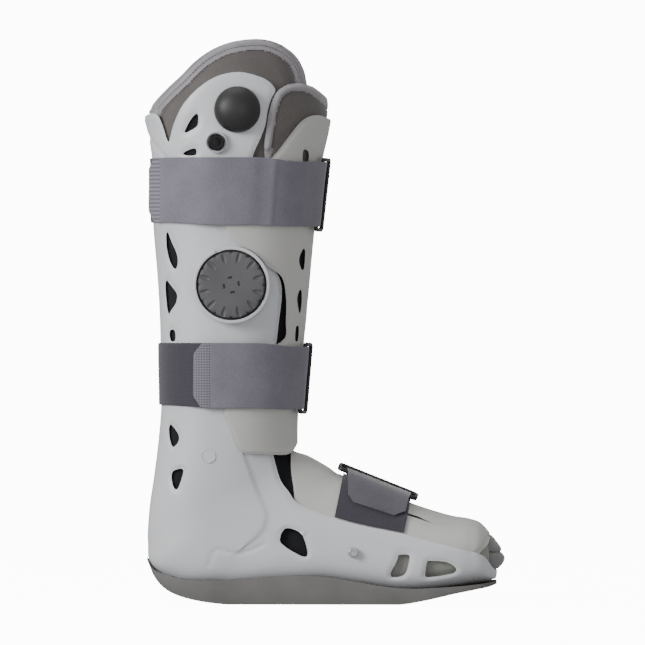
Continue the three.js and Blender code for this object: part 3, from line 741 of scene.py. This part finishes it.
def paddedSide(line, form, base, way):  # inset of one face of a pad; way 1 is the outer face, -1 the inner
    def inset(table, angles):
        away = distanceTo(sideSpots(table, angles), line, closed=False)
        turn = 1 - np.clip(away / form["binding"] * 1.5, 0, 1)
        rolled = form["roll"] * (1 - np.sqrt(np.clip(1 - turn ** 2, 0, 1)))
        seam = form["seam"] * (1 - ease(np.abs(away - form["binding"]) / 1.2))
        seam = np.maximum(seam, 0.6 * form["seam"] * (1 - ease(np.abs(away - form["second"]) / 1.3)))
        swell = form["puff"] * ease((away - form["second"]) / 8)
        return base + way * (rolled + seam - swell)
    return inset


collarPad = shell(
    "collarPad", paddedSide(collarTop, collar, panelTop + collar["puff"], 1),
    paddedSide(collarTop, collar, panelTop + walls["liner"] - collar["puff"], -1), collarLine, [],
    end=0.42, fine=(300, 240), rough=(220, 160))
combine(collarPad, slab("collarFoot", 100, level(collar["low"]), 200))
smoothShade(collarPad, 50)
dress(collarPad, "pad", replaces=["liner_collar"])


def bindEdge(piece, line, reach, finish):  # another finish on the faces near a line of the side view
    piece.data.materials.append(finishes[finish])
    centres = np.array([face.center for face in piece.data.polygons]) / mm
    near = distanceTo(centres[:, [0, 2]], line, closed=False) < reach
    for face, bound in zip(piece.data.polygons, near):
        face.material_index = int(bound)


bindEdge(collarPad, collarTop, collar["second"], "binding")
collarPad.data.materials.append(finishes["liner"])
for face in collarPad.data.polygons:  # the dark lining seen through the side windows, laid only where they look in: the lining's own dark colour and partly painted shade
    x, z = face.center.x / mm, face.center.z / mm
    behindWindow = sideWindows["back"] < x < sideWindows["front"] and z < sideWindows["top"]
    if behindWindow and face.normal.y * face.center.y > 0:
        face.material_index = 2
print("collar made", len(collarPad.data.polygons))


def alongside(line, away, side, inset, span):  # a seam at a distance below a top line, on the surface
    line = np.array([p for p in line if span[0] <= p[0] <= span[1]])
    run = np.gradient(line, axis=0)
    run /= np.linalg.norm(run, axis=1)[:, None]
    shifted = line + away * np.stack([run[:, 1], -run[:, 0]], axis=1)
    return [legSpot(x, z, inset, side) for x, z in shifted]


seams = [alongside(collarTop, away, side, panelTop + 0.55, (-66, 56))
         for side in (-1, 1) for away in (collar["binding"], collar["second"])]
collarSeams = stitches("collarSeams", seams)
dress(collarSeams, "thread")


# Front flap: a bound pad between the shells
flap = dict(binding=6.2, seam=0.9, second=30.0, roll=1.2, puff=0.3, swell=1.7, rise=0.5)
shellEdge = np.array([(3.9, 330.1), (51.4, 378.5)])  # the top edge of the front shell, over the flap
flapLine = smoothLine(leg([
    (0.2, 0.72), (0.186, 0.84), (0.181, 0.88), (0.18, 0.905), (0.196, 0.962), (0.212, 1.01), (0.235, 1.045),
    (0.262, 1.068), (0.322, 1.086), (0.401, 1.09), (0.47, 1.082), (0.53, 1.062), (0.592, 1.035),
    (0.64, 1.02), (0.74, 1.0),
]), 4)
flapTrim = np.vstack([flapLine, leg([(0.74, 0.72)])])
flapFace = paddedSide(flapLine, flap, 0.35, 1)


def flapOuter(table, angles):  # swells where no shell lies over it
    spots = sideSpots(table, angles)
    start, end = shellEdge
    run = (end - start) / np.linalg.norm(end - start)
    above = run[0] * (spots[..., 1] - start[1]) - run[1] * (spots[..., 0] - start[0])
    bead = np.sin(math.pi * np.clip(distanceTo(spots, flapLine, closed=False) / flap["binding"], 0, 1))
    return flapFace(table, angles) - ease((above - 1.5) / 3) * (flap["rise"] + flap["swell"] * bead)


flapPad = shell(
    "flapPad", flapOuter, paddedSide(flapLine, flap, walls["flap"], -1), flapTrim, [],
    end=0.36, fine=(300, 200), rough=(200, 120))
smoothShade(flapPad, 50)
dress(flapPad, "pad", replaces=["liner_flap"])
bindEdge(flapPad, flapLine, flap["binding"], "binding")
print("flap made", len(flapPad.data.polygons))


# Bootie: dark inside the shells, grey at the toe
bootieForm = dict(top=0.705, start=0.12, forward=2.8, toe=115)


def bootieOuter(table, angles):  # fills the room behind the front shell's windows
    front, onFoot = np.cos(angles)[None, :], table[:, 8:9]
    forward = ease((front - 0.74) / 0.06) * (1 - onFoot)
    underPanel = onFoot * ease((front + 0.75) * 4)
    return panelTop - bootieForm["forward"] * forward + (walls["panel"] + walls["gap"]) * underPanel


def bootieInner(table, angles):
    return bootieOuter(table, angles) + walls["liner"]


bootie = loft("bootie", bootieOuter, bootieForm["start"], 1.0, 120, 150, nose=1.0)
combine(bootie, loft("bootieHollow", bootieInner, bootieForm["start"], 1.0, 96, 110, nose=0.5))
combine(bootie, slab("bootieTop", -50, level(bootieForm["top"]), 300), "INTERSECT")
smoothShade(bootie, 50)
dress(bootie, "liner", replaces=["liner_boot"])
bootie.data.materials.append(finishes["footLiner"])
for face in bootie.data.polygons:
    face.material_index = int(face.center.x / mm > bootieForm["toe"])
print("bootie made", len(bootie.data.polygons))


# Straps: each follows a path of arc length and height over the shell, on the leg's sections
def legBed(angles):  # what lies under a strap: the rear shell, and in front the front shell too
    return walls["gap"] + (walls["front"] + walls["gap"]) * ease((np.cos(angles) + 0.6) * 2.5)


def onLeg(angles, height, z):
    rows = rowsAt(z)
    cos, sin = np.cos(angles), np.sin(angles)
    power = np.where(cos >= 0, 2 / rows[:, 5], 2 / rows[:, 6])
    reach = (rows[:, 0] - rows[:, 2]) / 2
    x = (rows[:, 0] + rows[:, 2]) / 2 + (reach + height) * bent(cos, power)
    return np.stack([x, (rows[:, 4] + height) * bent(sin, power), z], axis=1)


bandForm = dict(sides=120, step=1.6, edgePower=0.6, facePower=0.25)


# A band along a path of arc length and height; edges gives its two sides, ribs what its faces stand out
def bandPiece(name, path, edges, arc, angleAt, thick, ribs=None):
    path = smoothLine(path, 8)
    along = lengthAlong(path)

    def place(columns, rows):
        at = rows * along[-1]
        spot = pickAlong(at, along, path)
        run = np.gradient(spot, axis=0)
        run /= np.maximum(np.hypot(run[:, 0], run[:, 1]), 1e-9)[:, None]
        normal = np.stack([-run[:, 1], run[:, 0]], axis=1)
        turn = columns[:-1] * 2 * math.pi
        width = bent(np.cos(turn), bandForm["edgePower"])  # -1 to 1 across the band
        side = bent(np.sin(turn), bandForm["facePower"])
        low, high = edges(at, along[-1])
        points = np.zeros((len(rows), len(columns), 3))
        for i, (w, s) in enumerate(zip(width, side)):
            z = (low + high) / 2 + (high - low) / 2 * w
            depth = s * thick / 2 + (ribs(at, along[-1], z, s) if ribs else np.zeros_like(at))
            moved = spot + normal * depth[:, None]
            points[:, i] = onLeg(np.interp(moved[:, 0], arc, angleAt), moved[:, 1], z)
        points[:, -1] = points[:, 0]
        return points

    piece = gridForm(name, bandForm["sides"], int(along[-1] / bandForm["step"]) + 1, place)
    smoothShade(piece, 50)
    return piece


ringForm = dict(width=18.0, bar=3.0, angle=-0.19, lean=0.08, depth=3.5, corner=2.6)
strapWrap = dict(
    start=1.535, fold=-0.245, anchorStart=-0.14, anchorEnd=1.52, clear=0.1, lap=0.3, liftReach=16,
    dentX=20.5, creaseX=28.5, ribPitch=3.1, ribDepth=0.3, taper=8.5, taperReach=7)
strapFacts = dict(
    upper=dict(top=0.866, bottom=0.662, tab=-0.475, weave="tabLines", tabLength=15, lift=3.2, dent=0.7),
    lower=dict(top=0.306, bottom=0.109, tab=-0.237, weave="tabGrid", tabLength=14, lift=0, dent=0),
)


def arcPoints(x, y, radius, start, end, steps):  # part of a circle, between two degrees
    turns = np.radians(np.linspace(start, end, steps))
    return [(x + radius * math.cos(a), y + radius * math.sin(a)) for a in turns]


def tiltRing(centre, long, outward, width, lean):  # about the near bar, so the far side stands out
    long, outward, centre = Vector(long).normalized(), Vector(outward).normalized(), Vector(centre)
    wide = long.cross(outward).normalized()
    wide = wide if wide.y < 0 else -wide
    bar = centre + wide * (width / 2 - ringForm["bar"] / 2)
    turns = [Matrix.Rotation(turn, 3, long) for turn in (-lean, lean)]
    best = max(turns, key=lambda turn: (turn @ -wide).dot(outward))
    return np.array(bar + best @ (centre - bar)), np.array(best @ outward)


# A ring of flat bar round an opening
def ringPiece(name, centre, long, outward, opening, width):
    long, outward = Vector(long).normalized(), Vector(outward).normalized()
    wide = long.cross(outward).normalized()
    normal = np.array(wide.cross(long).normalized())
    long, wide, centre = np.array(long), np.array(wide), np.array(centre)
    bar, depth, corner = ringForm["bar"], ringForm["depth"], ringForm["corner"]
    half = (width / 2 - bar / 2, opening / 2 + bar / 2)

    def place(columns, rows):
        path = []
        for sx, sy, start in ((1, 1, 0), (-1, 1, 90), (-1, -1, 180), (1, -1, 270)):
            path += arcPoints(sx * (half[0] - corner), sy * (half[1] - corner), corner, start, start + 90, 8)
        path = np.array(path + [path[0]])
        step = lengthAlong(path)
        spot = pickAlong(rows * step[-1], step, path)
        run = np.roll(spot[:-1], -1, axis=0) - np.roll(spot[:-1], 1, axis=0)
        run = np.vstack([run, run[:1]])
        out = np.stack([run[:, 1], -run[:, 0]], axis=1)
        out /= np.linalg.norm(out, axis=1)[:, None]
        turn = columns * 2 * math.pi
        flat = bent(np.cos(turn), 0.6) * bar / 2
        deep = bent(np.sin(turn), 0.6) * depth / 2 + depth / 2
        plane = spot[:, None, :] + out[:, None, :] * flat[None, :, None]
        return centre + plane[..., :1] * wide + plane[..., 1:] * long + deep[None, :, None] * normal

    piece = gridForm(name, 16, 132, place, caps=False)
    smoothShade(piece, 60)
    return piece


# One strap round the leg, through its ring and back, with the anchor and the ring on the far side
def legStrap(name, facts):
    zTop, zLow = level(facts["top"] - 0.012), level(facts["bottom"] - 0.004)
    middle = (zTop + zLow) / 2
    thick, clear = walls["strap"], strapWrap["clear"]
    angles = np.linspace(0.2, 2 * math.pi + 0.6, 900)
    line = onLeg(angles, legBed(angles), np.full(900, middle))
    arc = lengthAlong(line)
    fold = float(np.interp(2 * math.pi + strapWrap["fold"], angles, arc))  # the turn inside the ring
    start = float(np.interp(strapWrap["start"], angles, arc))
    back = angles[(line[:, 0] > facts["tab"] * boot["legDepth"]) & (line[:, 1] < 0)][0]
    tabEnd = float(np.interp(back, angles, arc))
    bar = fold - 2.6
    radius = ringForm["bar"] / 2 + thick / 2 + 0.25

    def bed(s):
        return np.interp(s, arc, legBed(angles))

    def overHeight(s):
        rise = (2 * radius - thick - 0.2) * (1 - float(ease((bar - s) / 22)))
        lift = facts["lift"] * float(np.clip(1 - (s - tabEnd) / strapWrap["liftReach"], 0, 1)) ** 2
        x = float(np.interp(s, arc, line[:, 0]))
        crease = 0.8 * math.exp(-((x - strapWrap["creaseX"]) / 1.6) ** 2)
        dent = facts["dent"] * (float(ease(abs(x - strapWrap["dentX"]) / 9)) - 1 + crease)
        return bed(s) + thick * 1.5 + strapWrap["lap"] + rise + lift + dent

    base = bed(fold) + thick / 2 + clear
    under = [(s, bed(s) + thick / 2 + clear) for s in np.linspace(start, bar - 6, 60)]
    turned = [(bar + (radius * 0.95) * math.sin(a), base + radius - radius * math.cos(a))
              for a in np.linspace(0, math.pi, 9)]
    over = [(s, overHeight(s)) for s in np.linspace(bar - 4, tabEnd, 110)]
    path = smoothLine(under + turned + over, 8)
    walked = lengthAlong(path)
    foldAt = walked[8 * len(under)] / walked[-1]
    tabAt = 1 - facts["tabLength"] / walked[-1]

    def edges(at, total):
        x = np.interp(np.interp(at, walked, path[:, 0]), arc, line[:, 0])
        slope = ease((x - 0.1 * boot["legDepth"]) / (0.26 * boot["legDepth"]))
        high = level(facts["top"]) - slope * 0.012 * boot["legHeight"]
        low = level(facts["bottom"]) + ease(-(x + 8) / 50) * 0.009 * boot["legHeight"]
        low = low - slope * 0.004 * boot["legHeight"]
        taper = strapWrap["taper"] * np.clip(1 - (total - at) / strapWrap["taperReach"], 0, 1)
        return low + taper, high - taper

    def straightEdges(at, total):
        return np.full_like(at, zLow), np.full_like(at, zTop)

    def ribs(at, total, z, side):
        left = total - at
        inTab = ease(left / 0.6) * (1 - ease((left - facts["tabLength"] + 1) / 1))
        wave = 0.5 + 0.5 * np.cos(z * 2 * math.pi / strapWrap["ribPitch"])
        seam = strapWrap["ribDepth"] * np.exp(-((left - facts["tabLength"]) / 0.5) ** 2)
        return (seam - strapWrap["ribDepth"] * wave * inTab) if side < 0 else np.zeros_like(at)

    band = bandPiece(f"strap{name.title()}", under + turned + over, edges, arc, angles, thick, ribs)
    dress(band, "strap", replaces=[f"strap_{name}"])
    band.data.materials.append(finishes["strapPile"])
    band.data.materials.append(finishes[facts["weave"]])
    shares = [point.value for point in band.data.attributes["rowShare"].data]
    for face in band.data.polygons:
        share = sum(shares[vert] for vert in face.vertices) / len(face.vertices)
        face.material_index = 1 if share < foldAt else 2 if share > tabAt else 0
    print("strap made", name, len(band.data.polygons))

    turns = np.linspace(strapWrap["anchorStart"], strapWrap["anchorEnd"], 400)
    steps = lengthAlong(onLeg(turns, legBed(turns), np.full(400, middle)))
    way = np.linspace(0, steps[-1], 50)
    tail = [(s, np.interp(s, steps, legBed(turns)) + thick / 2 + clear) for s in way]
    anchor = bandPiece(f"anchor{name.title()}", tail, straightEdges, steps, turns, thick)
    dress(anchor, "strap", replaces=[f"anchor_{name}"])

    def ringSpot(turn, z):
        return onLeg(np.array([turn]), legBed(0.0) + thick + 0.35, np.array([z]))[0]

    high, low, centre = (ringSpot(ringForm["angle"], z) for z in (zTop, zLow, middle))
    aside = ringSpot(ringForm["angle"] - 0.05, middle)
    long = high - low
    outward = np.cross(centre - aside, long)
    outward *= np.sign(outward[0])
    centre, outward = tiltRing(centre, long, outward, ringForm["width"], ringForm["lean"])
    opening = np.linalg.norm(long) + 1.4
    ring = ringPiece(f"ring{name.title()}", centre, long, outward, opening, ringForm["width"])
    dress(ring, "ring", replaces=[f"ring_{name}"])


for strapName, facts in strapFacts.items():
    legStrap(strapName, facts)


# Foot strap: the band over the instep, turned round its ring and back down to a flap
footStrap = dict(bed=3.0, foldY=2.5, thick=1.6, rise=3.7, ringWidth=17.0, ringLean=0.22)
underTop = footStrap["bed"] - footStrap["thick"]
linkSide = -footStrap["foldY"] - footStrap["thick"]
strapOutline = foot([(0.319, 0.86), (0.514, 0.7), (0.479, 0.35), (0.276, 0.41)])
linkOutline = foot([(0.325, 0.93), (0.519, 0.78), (0.507, 0.6), (0.32, 0.7)])
footFlapOutline = foot([
    (0.327, 0.9), (0.521, 0.74), (0.502, 0.655), (0.494, 0.583), (0.459, 0.558), (0.343, 0.64),
    (0.328, 0.69),
])


def loftBetween(name, low, high, start, end, outline):  # the layer between two insets, cut by a side outline
    layer = loft(name, high, 0.34, 1.0, 220, 200)
    combine(layer, loft("layerCore", low, 0.34, 1.0, 200, 180))
    return combine(layer, sidePrism("layerTrim", outline, start, end), "INTERSECT")


def clearOfWalls(piece):  # stops at the edge of the rear shell
    return combine(piece, sidePrism("sideWall", rearLine + np.array([0, 1.05])))


def flapUnder(table, angles):  # the flap rises towards the bar of its ring
    near = np.minimum(2 * math.pi - angles, math.pi)
    rise = footStrap["rise"] * ease((0.8 - near) / 0.5)
    return (underTop - 0.35 - rise)[None, :] * np.ones((len(table), 1))


def flapOver(table, angles):
    return flapUnder(table, angles) - footStrap["thick"]


underBand = loftBetween("strapFootUnder", footStrap["bed"], underTop, -200, -footStrap["foldY"], strapOutline)
clearOfWalls(underBand)
dress(underBand, "strapPile")
flapBand = loftBetween("strapFootFlap", flapUnder, flapOver, -200, -footStrap["foldY"], footFlapOutline)
linkLow = footStrap["bed"] - 0.1
link = loftBetween("strapFootLink", linkLow, flapOver, linkSide, -footStrap["foldY"], linkOutline)
combine(flapBand, link, "UNION")
# the flap wears the strap fabric darkened as painted shade
dress(rounded(flapBand), "footStrap", replaces=["strap_foot"])
rounded(underBand, 0.3)
farBand = loftBetween("anchorFoot", footStrap["bed"], underTop, -1.2, 200, strapOutline)
clearOfWalls(farBand)
dress(rounded(farBand, 0.3), "strap", replaces=["anchor_foot"])

ringEnds = [np.array([x * boot["soleLength"], 0, 0]) for x in (0.3115, 0.5125)]
instep = np.array([(row[0], row[1]) for row in smoothTable(sections, np.linspace(0.42, 0.97, 400))])
for end in ringEnds:
    end[2] = np.interp(end[0], *instep.T)
ringLong = ringEnds[0] - ringEnds[1]
ringOut = np.array([-ringLong[2], 0, ringLong[0]])
ringOut *= np.sign(ringOut[2]) / np.linalg.norm(ringOut)
ringMiddle = (ringEnds[0] + ringEnds[1]) / 2 + ringOut * (footStrap["thick"] + 0.7 - footStrap["bed"])
ringMiddle, ringOut = tiltRing(ringMiddle, ringLong, ringOut, footStrap["ringWidth"], footStrap["ringLean"])
footRing = ringPiece(
    "ringFoot", ringMiddle, ringLong, ringOut, np.linalg.norm(ringLong) + 2.8, footStrap["ringWidth"])
dress(footRing, "ring", replaces=["ring_foot"])
print("foot strap made")


# Turned fittings on the near side: a profile of radius and height over the shell, round a spot
def turnedPiece(name, spot, base, profile, steps=96, shape=None, angle=35):
    profile = np.array(profile, float)

    def place(columns, rows):
        at = rows * (len(profile) - 1)
        radius, rise = pickAlong(at, np.arange(len(profile)), profile).T[..., None]
        turn = columns * 2 * math.pi
        reach = radius * np.ones_like(turn)
        if shape:
            reach = reach * shape(turn, radius, rise)
        y = base - rise * np.ones_like(turn)
        return np.stack([spot[0] + reach * np.cos(turn), y, spot[1] + reach * np.sin(turn)], axis=-1)

    piece = gridForm(name, steps, len(profile) - 1, place, caps=False)
    smoothShade(piece, angle)
    return piece


bulbForm = dict(spot=leg([(0.018, 1.01)])[0], radius=18.2, rise=15.0, rim=2.4)
bulbBase = legSpot(*bulbForm["spot"], 0)[1]
dome = []
for a in np.linspace(0, math.pi / 2, 34):
    height = bulbForm["rim"] + (bulbForm["rise"] - bulbForm["rim"]) * math.sin(a)
    dome.append((bulbForm["radius"] * math.cos(a), height))
dome[-1] = (0, bulbForm["rise"])
bulbRound = [(0, -2.9), (17.6, -2.9), (17.6, 0.9), (18.2, 1.2)] + dome
bulbPiece = turnedPiece("bulb", bulbForm["spot"], bulbBase, bulbRound, angle=60)
dress(bulbPiece, "bulb", replaces=["bulb"])

valveSpot = leg([(-0.109, 0.911)])[0]
valveBase = legSpot(*valveSpot, 0)[1]
valveRound = [(0, -2.9), (8.4, -2.9), (8.4, 3.0)] + arcPoints(8.0, 4.0, 0.5, 0, 180, 8)
valveRound += [(6.95, 3.7), (6.95, 1.2), (0, 1.2)]
valveCollar = turnedPiece("valveCollar", valveSpot, valveBase, valveRound, 72)
dress(valveCollar, "shell", replaces=["valve_collar"])
buttonRound = [(0, 3.4), (6.4, 3.4), (6.4, 6.0)] + arcPoints(5.4, 6.0, 1.0, 0, 90, 7)
buttonRound += [(3.5, 6.9), (3.2, 6.6), (1.5, 6.45), (0, 6.4)]
valveButton = turnedPiece("valveButton", valveSpot, valveBase, buttonRound, 72)
dress(valveButton, "button", body="valve_button", replaces=["valve_button"])

dialBase = legSpot(*dialSpot, 0)[1]
seatForm = dict(stem=4.3, gap=27.7, gapDepth=7.0)
seatRound = [(0, -2.6), (30.4, -2.6), (30.4, 6.8)] + arcPoints(29.2, 6.8, 1.2, 0, 90, 7)
seatRound += arcPoints(28.2, 7.4, 0.6, 90, 180, 5) + [(27.55, 5.2), (25, 5.18), (0, 5.15)]
stemRound = [(0, 4.5), (seatForm["stem"], 4.5), (seatForm["stem"], 6), (0, 6)]
notchSpots = [(-12.6, 23), (-7.4, 24.5), (-8.4, 31.5), (-13.6, 30.0)]
notchCorners = [(dialSpot[0] + x, dialSpot[1] + z) for x, z in notchSpots]
dialSeat = turnedPiece("dialSeat", dialSpot, dialBase, seatRound, 144)
combine(dialSeat, sidePrism("notch", notchCorners, dialBase - 12, dialBase - 6.4))
combine(dialSeat, turnedPiece("stemBore", dialSpot, dialBase, stemRound, 48))
smoothShade(dialSeat)
dress(dialSeat, "shell", replaces=["dial_seat"])
dialSeat.data.materials.append(finishes["dark"])
for face in dialSeat.data.polygons:  # the floor of the gap round the dial gets a near-black finish as painted shadow
    out = math.hypot(face.center.x / mm - dialSpot[0], face.center.z / mm - dialSpot[1])
    face.material_index = int(out < seatForm["gap"] and face.center.y / mm > dialBase - seatForm["gapDepth"])


def flutes(turn, radius, rise):
    wave = np.maximum(0, np.cos(turn * 12)) ** 6
    return 1 - 0.045 * wave * ease((radius - 17) / 8) * ease((rise - 5.4) / 2)


dialRound = [(0, 5.5), (25.6, 5.5), (26.1, 6.0), (26.1, 8.6)] + arcPoints(24.3, 8.9, 1.8, 0, 80, 8)
dialRound += [(22.5, 11.05), (18, 11.3), (12, 11.45), (6, 11.5), (0, 11.5)]
dialPiece = turnedPiece("dial", dialSpot, dialBase, dialRound, 240, shape=flutes)
slotForm = dict(first=100, half=17, outer=6.7, inner=5.1, low=14, high=9.6)
slots = []
for quarter in range(4):
    spread = np.radians(np.linspace(-slotForm["half"], slotForm["half"], 7))
    turns = math.radians(slotForm["first"] + 90 * quarter) + spread
    corners = [(slotForm["outer"], a) for a in turns] + [(slotForm["inner"], a) for a in turns[::-1]]
    outline = [(dialSpot[0] + r * math.cos(a), dialSpot[1] + r * math.sin(a)) for r, a in corners]
    slots.append(sidePrism("slot", outline, dialBase - slotForm["low"], dialBase - slotForm["high"]))
combine(dialPiece, joined("slots", slots))
scoopForm = dict(count=12, radius=24, rise=12.4, size=(7.5, 2.7, 2.4))
scoops = []
for tooth in range(scoopForm["count"]):  # shallow radial scoops towards the rim
    a = 2 * math.pi * (tooth + 0.5) / scoopForm["count"]
    x, z = dialSpot[0] + scoopForm["radius"] * math.cos(a), dialSpot[1] + scoopForm["radius"] * math.sin(a)
    form = Matrix.Translation(Vector((x, dialBase - scoopForm["rise"], z)) * mm) @ Matrix.Rotation(-a, 4, "Y")
    form = form @ Matrix.Diagonal([part * mm for part in scoopForm["size"]] + [1])
    bm = bmesh.new()
    bmesh.ops.create_icosphere(bm, subdivisions=3, radius=1, matrix=form)
    scoops.append(showMesh("scoop", bm))
combine(dialPiece, joined("scoops", scoops))
smoothShade(dialPiece, 30)
dress(dialPiece, "dial", body="dial", replaces=["dial"])

rivetSpot = foot([(0.343, 0.326)])[0]
for name, side in (("rivetNear", -1), ("rivetFar", 1)):
    headBase = side * boot["footWidth"] / 2
    head = [(0, -4), (3.9, -4), (3.9, -0.2)] + arcPoints(3.2, -0.2, 0.7, 0, 90, 5)
    head += [(2.2, 0.5), (1.9, 0.1), (0, 0.0)]
    rivet = turnedPiece(name, rivetSpot, headBase, [(r, side * -rise) for r, rise in head], 48)
    dress(rivet, "rivet", replaces=["rivet_near" if side < 0 else "rivet_far"])
print("fittings made")


# Grey toe of the liner: two soft folds that stick out in front of the shell
toeHalf = 26.5


def cushion(name, outline):
    line = smoothLine(outline, 6, closed=True)
    middle = line.mean(axis=0)

    def place(columns, rows):
        at = columns * (len(line) - 1)
        side = pickAlong(at, np.arange(len(line)), line)
        share = 2 * rows - 1
        size = np.maximum(1 - np.abs(share) ** 7, 0) ** 0.35
        back = 1.5 * share ** 2 + 9 * np.abs(share) ** 6
        points = np.zeros((len(rows), len(columns), 3))
        points[..., 0] = middle[0] + (side[:, 0] - middle[0])[None, :] * size[:, None] - back[:, None]
        points[..., 1] = (toeHalf * share)[:, None]
        points[..., 2] = middle[1] + (side[:, 1] - middle[1])[None, :] * size[:, None]
        return points

    return gridForm(name, 72, 60, place, caps=False)


upperFold = cushion("upperFold", foot([
    (0.7, 0.325), (0.722, 0.365), (0.738, 0.43), (0.746, 0.424), (0.761, 0.385), (0.774, 0.342),
    (0.77, 0.324), (0.74, 0.32),
]))
lowerFold = cushion("lowerFold", foot([
    (0.7, 0.313), (0.74, 0.322), (0.771, 0.322), (0.7835, 0.29), (0.779, 0.252), (0.76, 0.216),
    (0.745, 0.235), (0.72, 0.28),
]))
toeFold = joined("toeFold", [upperFold, lowerFold])
smoothShade(toeFold, 60)
dress(toeFold, "toe")
print("toe made", len(toeFold.data.polygons))


# The bare moulded ring at the ankle
markForm = dict(middle=(-20.5, 116.9), radius=5.4, thick=0.5, inset=0.12)


def ringTube(name, points, radius):
    points = np.array(points)

    def place(columns, rows):
        spot = pickAlong(rows * (len(points) - 1), np.arange(len(points)), points)
        run = np.roll(spot[:-1], -1, axis=0) - np.roll(spot[:-1], 1, axis=0)
        run = np.vstack([run, run[:1]])
        run /= np.linalg.norm(run, axis=1)[:, None]
        first = np.cross(run, [0, 1, 0])
        first /= np.linalg.norm(first, axis=1)[:, None]
        second = np.cross(run, first)
        turn = (columns * 2 * math.pi)[None, :, None]
        ring = np.cos(turn) * first[:, None, :] + np.sin(turn) * second[:, None, :]
        return spot[:, None, :] + radius * ring

    piece = gridForm(name, 8, len(points) - 1, place, caps=False)
    smoothShade(piece, 60)
    return piece


markLine = arcPoints(*markForm["middle"], markForm["radius"], 0, 360, 49)
ankleMark = ringTube("ankleMark", [legSpot(x, z, markForm["inset"]) for x, z in markLine], markForm["thick"])
dress(ankleMark, "shell")
print("ankle mark made")


# Camera, light and floor
view = dict(span=0.5096, middle=(0.0691, 0.2216), distance=8.0)
camera = bpy.data.objects.new("camera", bpy.data.cameras.new("camera"))
camera.data.lens = camera.data.sensor_width * view["distance"] / view["span"]
camera.location = (view["middle"][0], -view["distance"], view["middle"][1])
camera.rotation_euler = (math.pi / 2, 0, 0)
bpy.context.scene.collection.objects.link(camera)
bpy.context.scene.camera = camera


def softbox(name, spot, size, power):
    lamp = bpy.data.objects.new(name, bpy.data.lights.new(name, "AREA"))
    lamp.data.shape, lamp.data.size, lamp.data.energy = "DISK", size, power
    lamp.location = spot
    lamp.rotation_euler = (Vector((0.06, 0, 0.2)) - Vector(spot)).to_track_quat("-Z", "Y").to_euler()
    bpy.context.scene.collection.objects.link(lamp)


softbox("keyLight", (-1.9, -1.5, 1.05), 1.2, 62)
softbox("fillLight", (0.5, -2.6, 0.5), 1.6, 9)
softbox("topLight", (-0.2, 0.1, 1.9), 1.4, 10)

world = bpy.data.worlds.new("studio")
world.use_nodes = True
world.node_tree.nodes["Background"].inputs["Color"].default_value = (1, 1, 1, 1)
world.node_tree.nodes["Background"].inputs["Strength"].default_value = 0.45
bpy.context.scene.world = world

studioSide = [(0, 0), (10.5, 0), (11.2, 0.2), (11.8, 0.8), (12, 1.5), (12, 9)]


def studioPlace(columns, rows):  # a round floor that turns up into a wall, far behind every view
    line = np.array([studioSide[int(round(row * (len(studioSide) - 1)))] for row in rows]) / mm
    turn = columns * 2 * math.pi
    flat = [line[:, :1] * np.cos(turn), line[:, :1] * np.sin(turn), line[:, 1:] * np.ones_like(turn)]
    return np.stack(flat, axis=-1)


floor = gridForm("floor", 48, len(studioSide) - 1, studioPlace, caps=False)
smoothShade(floor, 80)
floorFinish = Finish("paleFloor", (0.86, 0.86, 0.86), 0.85)
floorFinish.set("Emission Color", (1, 1, 1, 1))
floorFinish.set("Emission Strength", 12)
floor.data.materials.append(floorFinish.material)
floor.visible_diffuse = False
floor.visible_glossy = False
floor.visible_shadow = False

print("scene done")
